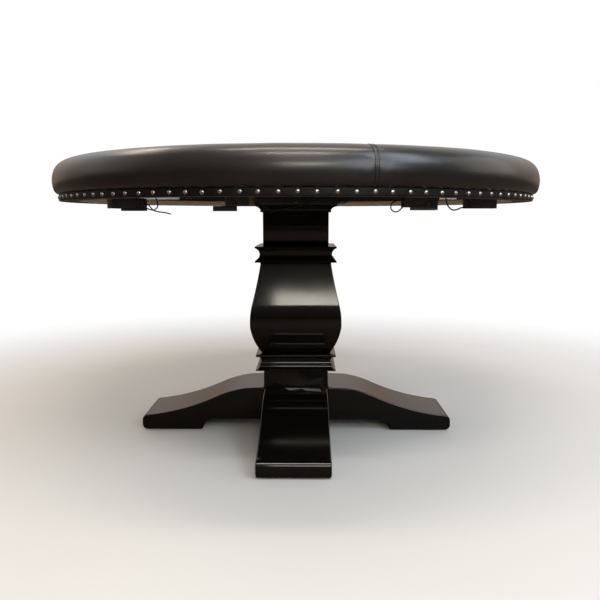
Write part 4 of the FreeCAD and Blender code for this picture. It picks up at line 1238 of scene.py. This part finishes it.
@dataclass
class SquareTurning:
    """Square section of the pedestal: a half-width that changes with height, with eased arrises."""

    name: str
    node: str
    corners: tuple[Corner, ...]
    arris: float = 0.0016
    lip: float = 0.0012
    bore: float = 0.0115

    def build(self) -> None:
        """Make the piece from its outline of (half-width, height)."""
        line = eased_line(outline(self.corners, 18), self.lip)
        line = [(self.bore, line[0][1]), *line, (self.bore, line[-1][1])]
        points: list[Triple] = []
        columns = self._round_square()
        for sx, sy, turn in columns:
            for half, level in line:
                arris = min(self.arris, half * 0.5)
                flat, (x, y, _) = half - arris, polar(arris, turn, level)
                points.append((flat * sx + x, flat * sy + y, level))
        piece = mesh_object(self.name, points, ring_faces(len(line), len(columns), closed_rows=True))
        modify(piece, "WEIGHTED_NORMAL", keep_sharp=True, weight=50)
        finish_piece(piece, "black_lacquer", TABLE, self.node)

    @staticmethod
    def _round_square() -> list[Triple]:
        """Corner arcs with the flats divided between.

        Returns:
            (sign of x, sign of y, turn) of each column.
        """
        signs = ((1, 1), (-1, 1), (-1, -1), (1, -1))
        made = []
        for quarter, (sx, sy) in enumerate(signs):
            start = math.pi / 2 * quarter
            made += [(sx, sy, start + math.pi / 2 * step / 6) for step in range(7)]
            nx, ny = signs[(quarter + 1) % 4]
            for share in (0.25, 0.5, 0.75):
                made.append((sx + (nx - sx) * share, sy + (ny - sy) * share, start + math.pi / 2))
        return made


CAPITAL = ((0.102, 0.6525), (0.102, 0.6595, -0.0208), (0.118, 0.669), (0.118, 0.673))
COLUMN = ((0.0953, 0.554), (0.0953, 0.6525))
NECK = ((0.118, 0.508), (0.118, 0.5125, -0.01966), (0.118, 0.5495), (0.118, 0.554))
URN = (
    (0.0996, 0.239, 0.190),
    (0.1328, 0.322),
    (0.1328, 0.335, 0.219),
    (0.1263, 0.388, -1.361),
    (0.1030, 0.502),
    (0.1030, 0.508),
)
BASE_CAP = (
    (0.118, 0.1885),
    (0.118, 0.1915, -0.01326),
    (0.105, 0.2045),
    (0.1075, 0.2045),
    (0.1075, 0.207),
    (0.105, 0.207, -0.0145),
    (0.1175, 0.230),
    (0.1175, 0.236),
    (0.1006, 0.239),
)
PEDESTAL = (
    SquareTurning("capital", "capital_moulding", CAPITAL),
    SquareTurning("column", "pedestal_column", COLUMN, 0.0022, lip=0.0004),
    SquareTurning("neck", "neck_moulding", NECK),
    SquareTurning("urn", "urn_body", URN, 0.0024),
    SquareTurning("base_cap", "base_moulding", BASE_CAP, lip=0.0008),
)


@dataclass
class ScrollFeet:
    """Four feet that sweep down from the block to a rounded toe."""

    width: float = 0.1875
    rounding: float = 0.0034
    corners: tuple[Corner, ...] = (
        (0.0953, 0.033),
        (0.252, 0.033, -0.0305),
        (0.2825, 0.0025),
        (0.4505, 0.0025, 0.014),
        (0.4645, 0.0165),
        (0.4645, 0.030, 0.018),
        (0.4465, 0.047, -0.680),
        (0.2453, 0.1015, 0.330),
        (0.1503, 0.1295),
        (0.0953, 0.132),
    )

    def build(self) -> None:
        """Make each foot, turned about the table's axis."""
        side = outline(self.corners, steps=14, closed=True)
        count = len(side)
        faces: list[Sequence[int]] = [tuple(range(count)), tuple(range(2 * count - 1, count - 1, -1))]
        faces += [(i, (i + 1) % count, count + (i + 1) % count, count + i) for i in range(count)]
        for index, name in enumerate(("right", "back", "left", "front")):
            cos, sin = math.cos(math.pi / 2 * index), math.sin(math.pi / 2 * index)
            points: list[Triple] = []
            for across in (-self.width / 2, self.width / 2):
                points += [(x * cos - across * sin, x * sin + across * cos, z) for x, z in side]
            foot = mesh_object(f"scroll_foot_{name}", points, faces)
            ease(foot, self.rounding, 4, angle=50)
            finish_piece(foot, "black_lacquer", TABLE, f"foot_{name}")


EASED_WIDTHS = (
    (0.0022, "base_block"),
    (0.0012, "base_ring"),
    (0.0015, "mounting_cleat"),
    (0.0008, "pedestal_top_plate"),
    (0.001, "clamp_plate"),
    (0.0009, "left_driver_case", "right_driver_case", "controller_case", "port_case"),
    (0.0007, "left_driver_terminal", "right_driver_terminal"),
    (0.0004, "left_driver_bracket", "controller_bracket", "port_brackets"),
    (0.0008, "splice_connector"),
    (0.0004, "power_socket"),
    (0.0005, "button_bezel"),
    (0.0002, "light_bar_channels"),
    (0.0006, "light_bar_lenses", "lead_grommets"),
    (0.0005, BUTTON),
)


class EasedParts:
    """Plates, cases and small fittings whose CAD shape is right but for its hard edges."""

    def build(self) -> None:
        """Ease each part and let it stand for its node."""
        for width, *nodes in EASED_WIDTHS:
            for node in nodes:
                body = BUTTON if node == BUTTON else TABLE
                finish_piece(eased_copy(node, width), SLOTS[node], body, node, look=OWN_LOOKS.get(node))


# ---- lighting modules


@dataclass
class ModuleFittings:
    """Screws and copper pads of the lighting modules under the deck. Sizes are (radius, height)."""

    bracket_sizes: Pair = (0.0032, 0.0019)
    cleat_sizes: Pair = (0.005, 0.0029)
    terminal_sizes: Pair = (0.0019, 0.0009)
    pad_sizes: Pair = (0.004, 0.0028)

    def build(self) -> None:
        """Make the fittings."""
        tree = Repeats("pan_screws", screw_shape)
        sizes = self.bracket_sizes
        tree.make("bracket_screw_heads", self._bracket_places(), sizes, "zinc_steel", "bracket_screws")
        tree.make("cleat_screw_heads", self._cleat_places(), self.cleat_sizes, "zinc_steel", "cleat_screws")
        places, sizes = self._terminal_places(), self.terminal_sizes
        tree.make("terminal_screw_heads", places, sizes, "terminal_plastic", look="dark_screw")
        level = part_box("table_deck")[0].z
        pads = [(Vector((x, 0.100, level)), DOWN, Vector((1, 0, 0))) for x in (-0.350, -0.337)]
        tree = Repeats("solder_pads", nail_shape)
        tree.make("light_tape_pads", pads, self.pad_sizes, "light_strip", look="copper_pad", spread=0.05, seed=9)

    def _bracket_places(self) -> list[Place]:
        """Find the brackets' screws, where the CAD has its plain heads.

        Returns:
            (place, facing, running) of each.
        """
        places = []
        for low, high in self._islands("bracket_screws"):
            middle = (low + high) / 2
            if high.z - low.z < high.y - low.y:
                places.append((Vector((middle.x, middle.y, high.z)), DOWN, Vector((0.7, 0.7, 0))))
            else:
                places.append((Vector((middle.x, high.y, middle.z)), FORWARD, Vector((0.8, 0, 0.6))))
        return places

    def _cleat_places(self) -> list[Place]:
        """Find the screws that hold the cleat, over the CAD ones.

        Returns:
            (place, facing, running) of each.
        """
        draw = random.Random(21)
        places = []
        for low, high in self._islands("cleat_screws"):
            running = Vector(polar(1, draw.uniform(0, math.pi), 0))
            middle = (low + high) / 2
            places.append((Vector((middle.x, middle.y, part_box("mounting_cleat")[0].z)), DOWN, running))
        return places

    def _terminal_places(self) -> list[Place]:
        """Lay out the clamp screws on the front faces of the two terminal blocks.

        Returns:
            (place, facing, running) of each.
        """
        places = []
        for node, count in (("left_driver_terminal", 3), ("right_driver_terminal", 2)):
            low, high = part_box(node)
            left = low.x if count == 2 else high.x - 0.018
            for index in range(count):
                level = low.z + 0.0075 + index * (high.z - low.z - 0.012) / max(1, count - 1)
                places.append((Vector(((left + high.x) / 2, low.y, level)), FORWARD, Vector((0.5, 0, 0.85))))
        return places

    @staticmethod
    def _islands(node: str) -> list[tuple[Vector, Vector]]:
        """Boxes of a node's separate solids.

        Args:
            node: The node.

        Returns:
            (lowest, highest) corner of each.
        """
        work = bmesh.new()
        work.from_mesh(frame["nodes"][node].data)
        bmesh.ops.remove_doubles(work, verts=work.verts, dist=MERGE)
        left = set(work.verts)
        boxes = []
        while left:
            stack = [left.pop()]
            found = [stack[0].co.copy()]
            while stack:
                fresh = {vert for edge in stack.pop().link_edges for vert in edge.verts} & left
                left -= fresh
                stack.extend(fresh)
                found.extend(vert.co.copy() for vert in fresh)
            boxes.append(tuple(Vector(tuple(map(pick, zip(*found)))) for pick in (min, max)))
        work.free()
        return sorted(boxes, key=lambda entry: tuple(entry[0]))


# ---- leads


@dataclass
class Lead:
    """One lead under the deck: a smooth line through its route."""

    name: str
    diameter: float
    length: float
    far_end: str
    route: tuple[Triple, ...]
    stiffness: str = "medium"

    def build(self) -> None:
        """Make the lead as a round cord."""
        curve = bpy.data.curves.new(f"{self.name}_run", "CURVE")
        curve.dimensions = "3D"
        spline = curve.splines.new("NURBS")
        spline.points.add(len(self.route) - 1)
        for point, place in zip(spline.points, self.route):
            point.co = (*place, 1.0)
        spline.order_u = 3
        spline.use_endpoint_u = True
        spline.resolution_u = 12
        curve.bevel_depth = self.diameter / 2
        curve.bevel_resolution = 4
        curve.use_fill_caps = True
        piece = linked(f"{self.name}_run", curve)
        finish_piece(piece, "lead_jacket", TABLE, self.name)


LEADS = (
    Lead(
        "left_lead", 0.003, 0.0692, "object",
        (
            (-0.3628, -0.378, 0.661), (-0.353, -0.378, 0.6565), (-0.342, -0.377, 0.6555), (-0.3335, -0.376, 0.663),
            (-0.334, -0.374, 0.675), (-0.340, -0.371, 0.6865), (-0.342, -0.370, 0.6984),
        ),
    ),
    Lead(
        "left_aerial", 0.003, 0.0713, "bare",
        (
            (-0.3628, -0.392, 0.671), (-0.352, -0.393, 0.669), (-0.346, -0.394, 0.660), (-0.338, -0.394, 0.6535),
            (-0.325, -0.393, 0.651), (-0.311, -0.392, 0.6495), (-0.299, -0.391, 0.646),
        ),
        "stiff",
    ),
    Lead(
        "controller_lead", 0.003, 0.0802, "object",
        (
            (0.2609, -0.411, 0.679), (0.249, -0.412, 0.6795), (0.237, -0.414, 0.6745), (0.230, -0.417, 0.6635),
            (0.2345, -0.420, 0.653), (0.246, -0.423, 0.650), (0.254, -0.424, 0.6575), (0.2609, -0.424, 0.664),
        ),
    ),
    Lead(
        "right_lead", 0.0035, 0.0818, "object",
        (
            (0.4394, -0.288, 0.664), (0.429, -0.288, 0.663), (0.419, -0.289, 0.6575), (0.408, -0.290, 0.656),
            (0.3985, -0.290, 0.662), (0.392, -0.289, 0.673), (0.3895, -0.288, 0.686), (0.390, -0.287, 0.6984),
        ),
    ),
    Lead(
        "centre_lead", 0.004, 0.4293, "object",
        (
            (-0.082, -0.522, 0.668), (-0.070, -0.520, 0.666), (-0.060, -0.510, 0.660), (-0.056, -0.480, 0.655),
            (-0.054, -0.435, 0.652), (-0.052, -0.380, 0.653), (-0.048, -0.325, 0.656), (-0.038, -0.270, 0.660),
            (-0.020, -0.220, 0.663), (0.005, -0.185, 0.666), (0.030, -0.170, 0.674), (0.0485, -0.1649, 0.686),
            (0.052, -0.164, 0.6984),
        ),
    ),
)


# ---- studio


@dataclass(frozen=True)
class Lamp:
    """One soft rectangular lamp."""

    name: str
    place: Triple
    target: Triple
    size: Pair
    power: float
    colour: Triple = (1.0, 0.95, 0.88)

    def build(self) -> None:
        """Hang the lamp."""
        lamp = bpy.data.lights.new(self.name, "AREA")
        lamp.shape = "RECTANGLE"
        lamp.size, lamp.size_y = self.size
        lamp.energy = self.power
        lamp.color = self.colour
        holder = linked(self.name, lamp)
        holder.location = self.place
        holder.rotation_euler = (Vector(self.target) - Vector(self.place)).to_track_quat("-Z", "Y").to_euler()


WHITE = {"Color": (1, 1, 1, 1), "Strength": 1.0}
LAMPS = (
    Lamp("ceiling_left", (-1.90, 0.80, 3.0), (-0.3, -0.6, 0.75), (1.40, 0.40), 13.0, (1.0, 0.82, 0.64)),
    Lamp("ceiling_right", (0.05, -0.58, 2.9), (0.05, -0.6, 0.75), (1.70, 0.24), 19.0, (1.0, 0.87, 0.72)),
    Lamp("over_front", (0.15, -2.20, 2.9), (0.0, -0.6, 0.75), (1.2, 2.0), 9.0, (1.0, 0.92, 0.84)),
    Lamp("edge_strip", (0.05, -1.84, 3.0), (0.0, -0.6, 0.4), (1.3, 0.14), 16.0, (1.0, 0.95, 0.88)),
    Lamp("front_panel", (0.40, -4.2, 2.05), (0.0, 0.0, 0.4), (1.4, 0.50), 26.0, (1.0, 0.95, 0.80)),
    Lamp("side_window", (2.1, -1.9, 2.9), (0.2, -0.66, 0.75), (1.1, 1.9), 35.0, (0.74, 0.87, 1.0)),
    Lamp("side_low", (2.0, -3.5, 2.0), (0.2, -0.66, 0.75), (1.3, 1.6), 29.0, (0.78, 0.89, 1.0)),
    Lamp("left_soft", (-2.9, -0.4, 1.8), (0.0, 0.0, 0.5), (1.8, 1.8), 3.5),
    Lamp("right_soft", (2.9, -0.2, 1.8), (0.0, 0.0, 0.5), (1.8, 1.8), 10.0),
)


@dataclass
class Studio:
    """Pale floor, a room that is bright behind the table, soft lamps and the camera."""

    floor_colour: Triple = (0.82, 0.81, 0.80)
    # Colour of the floor as glossy rays see it: a painted reflection.
    painted_floor_reflection: Triple = (0.12, 0.082, 0.058)
    floor_half: float = 9.0
    fade: Pair = (0.9, 2.4)
    room_low: Triple = (0.022, 0.019, 0.016)
    room_high: Triple = (0.25, 0.235, 0.215)
    wall_low: Triple = (0.38, 0.285, 0.23)
    wall_high: Triple = (0.90, 0.87, 0.83)
    camera_place: Triple = (0.0307, -1.9503, 0.6407)
    camera_turn: Triple = (82.51, 0.0, 0.57)
    lens: float = 38.2

    def build(self) -> None:
        """Set the scene up."""
        scene = bpy.context.scene
        scene.view_settings.view_transform = "Standard"
        scene.camera = self._camera()
        scene.world = self._world()
        self._floor()
        for lamp in LAMPS:
            lamp.build()

    def _camera(self) -> bpy.types.Object:
        """Put the camera in front of the table, low under the rail.

        Returns:
            The camera's object.
        """
        camera = bpy.data.cameras.new("camera")
        camera.lens = self.lens
        camera.sensor_width = 36.0
        holder = linked("camera", camera)
        holder.location = self.camera_place
        holder.rotation_euler = tuple(math.radians(turn) for turn in self.camera_turn)
        return holder

    def _world(self) -> bpy.types.World:
        """Plain white to the camera, and to the table a room that is dark below and bright behind.

        Returns:
            The world.
        """
        world = bpy.data.worlds.new("room")
        nodes = Nodes(emptied(world))
        split = nodes.add("SeparateXYZ", {0: nodes.add("TexCoord").outputs["Generated"]}).outputs
        height = nodes.spread(split["Z"], 0, 1, -0.05, 0.5)
        tone = nodes.blend(height, self.room_low, self.room_high)
        behind = nodes.spread(split["Y"], 0, 1, 0.1, 0.5)
        above = nodes.spread(split["Z"], 0, 1, -0.03, 0.02)
        wall = nodes.blend(nodes.spread(split["Z"], 0, 1, 0.1, 0.5), self.wall_low, self.wall_high)
        tone = nodes.blend(nodes.times(behind, above), tone, wall)
        seen = nodes.add("LightPath").outputs["Is Camera Ray"]
        soft = nodes.add("Background", {"Color": tone, "Strength": 1.0}).outputs[0]
        white = nodes.add("Background", WHITE).outputs[0]
        mixed = nodes.add("MixShader", {0: seen, 1: soft, 2: white}).outputs[0]
        nodes.add("OutputWorld", {"Surface": mixed})
        return world

    def _floor(self) -> None:
        """Lay the plain floor, which fades to white away from the table, and which glossy rays see as dark brown, a
        painted reflection.
        """
        half = self.floor_half
        corners = [(-half, -half, 0), (half, -half, 0), (half, half, 0), (-half, half, 0)]
        floor = mesh_object("floor", corners, [(0, 1, 2, 3)])
        shader = Shader("floor_paint")
        clouds, path = shader.clouds(1.4), shader.add("LightPath").outputs
        pale = shader.blend(shader.spread(clouds), self.floor_colour, tuple(c * 0.97 for c in self.floor_colour))
        # Painted reflection: glossy rays see a dark brown floor in place of the pale one.
        tone = shader.blend(path["Is Glossy Ray"], pale, self.painted_floor_reflection)
        shader.dress(Base_Color=tone, Roughness=shader.spread(clouds, 0.55, 0.65), Specular_IOR_Level=0.2)
        reach = shader.add("VectorMath", {0: shader.place()}, operation="LENGTH").outputs["Value"]
        inputs = {"Value": reach, "From Min": self.fade[0], "From Max": self.fade[1]}
        far = shader.add("MapRange", inputs, interpolation_type="SMOOTHSTEP").outputs[0]
        share = shader.times(far, path["Is Camera Ray"])
        inputs = {0: share, 1: shader.surface.outputs[0], 2: shader.add("Emission", WHITE).outputs[0]}
        shader.put(shader.output.inputs["Surface"], shader.add("MixShader", inputs).outputs[0])
        floor.data.materials.append(shader.material)


# ---- making the table


def write_sizes() -> None:
    """Bring the view layer up to date."""
    bpy.context.view_layer.update()


def main() -> None:
    """Build the studio, the leads and every part of the table."""
    logging.basicConfig(level=logging.INFO, format="%(name)s: %(message)s")
    Studio().build()
    PALETTE.build()
    PALETTE.dress_frame()
    pieces = (*LEADS, PaddedRail(), NailedApron(), PlayingSurface(), *PEDESTAL)
    for piece in (*pieces, ScrollFeet(), EasedParts(), ModuleFittings()):
        piece.build()
    write_sizes()


if __name__ == "__main__":
    main()
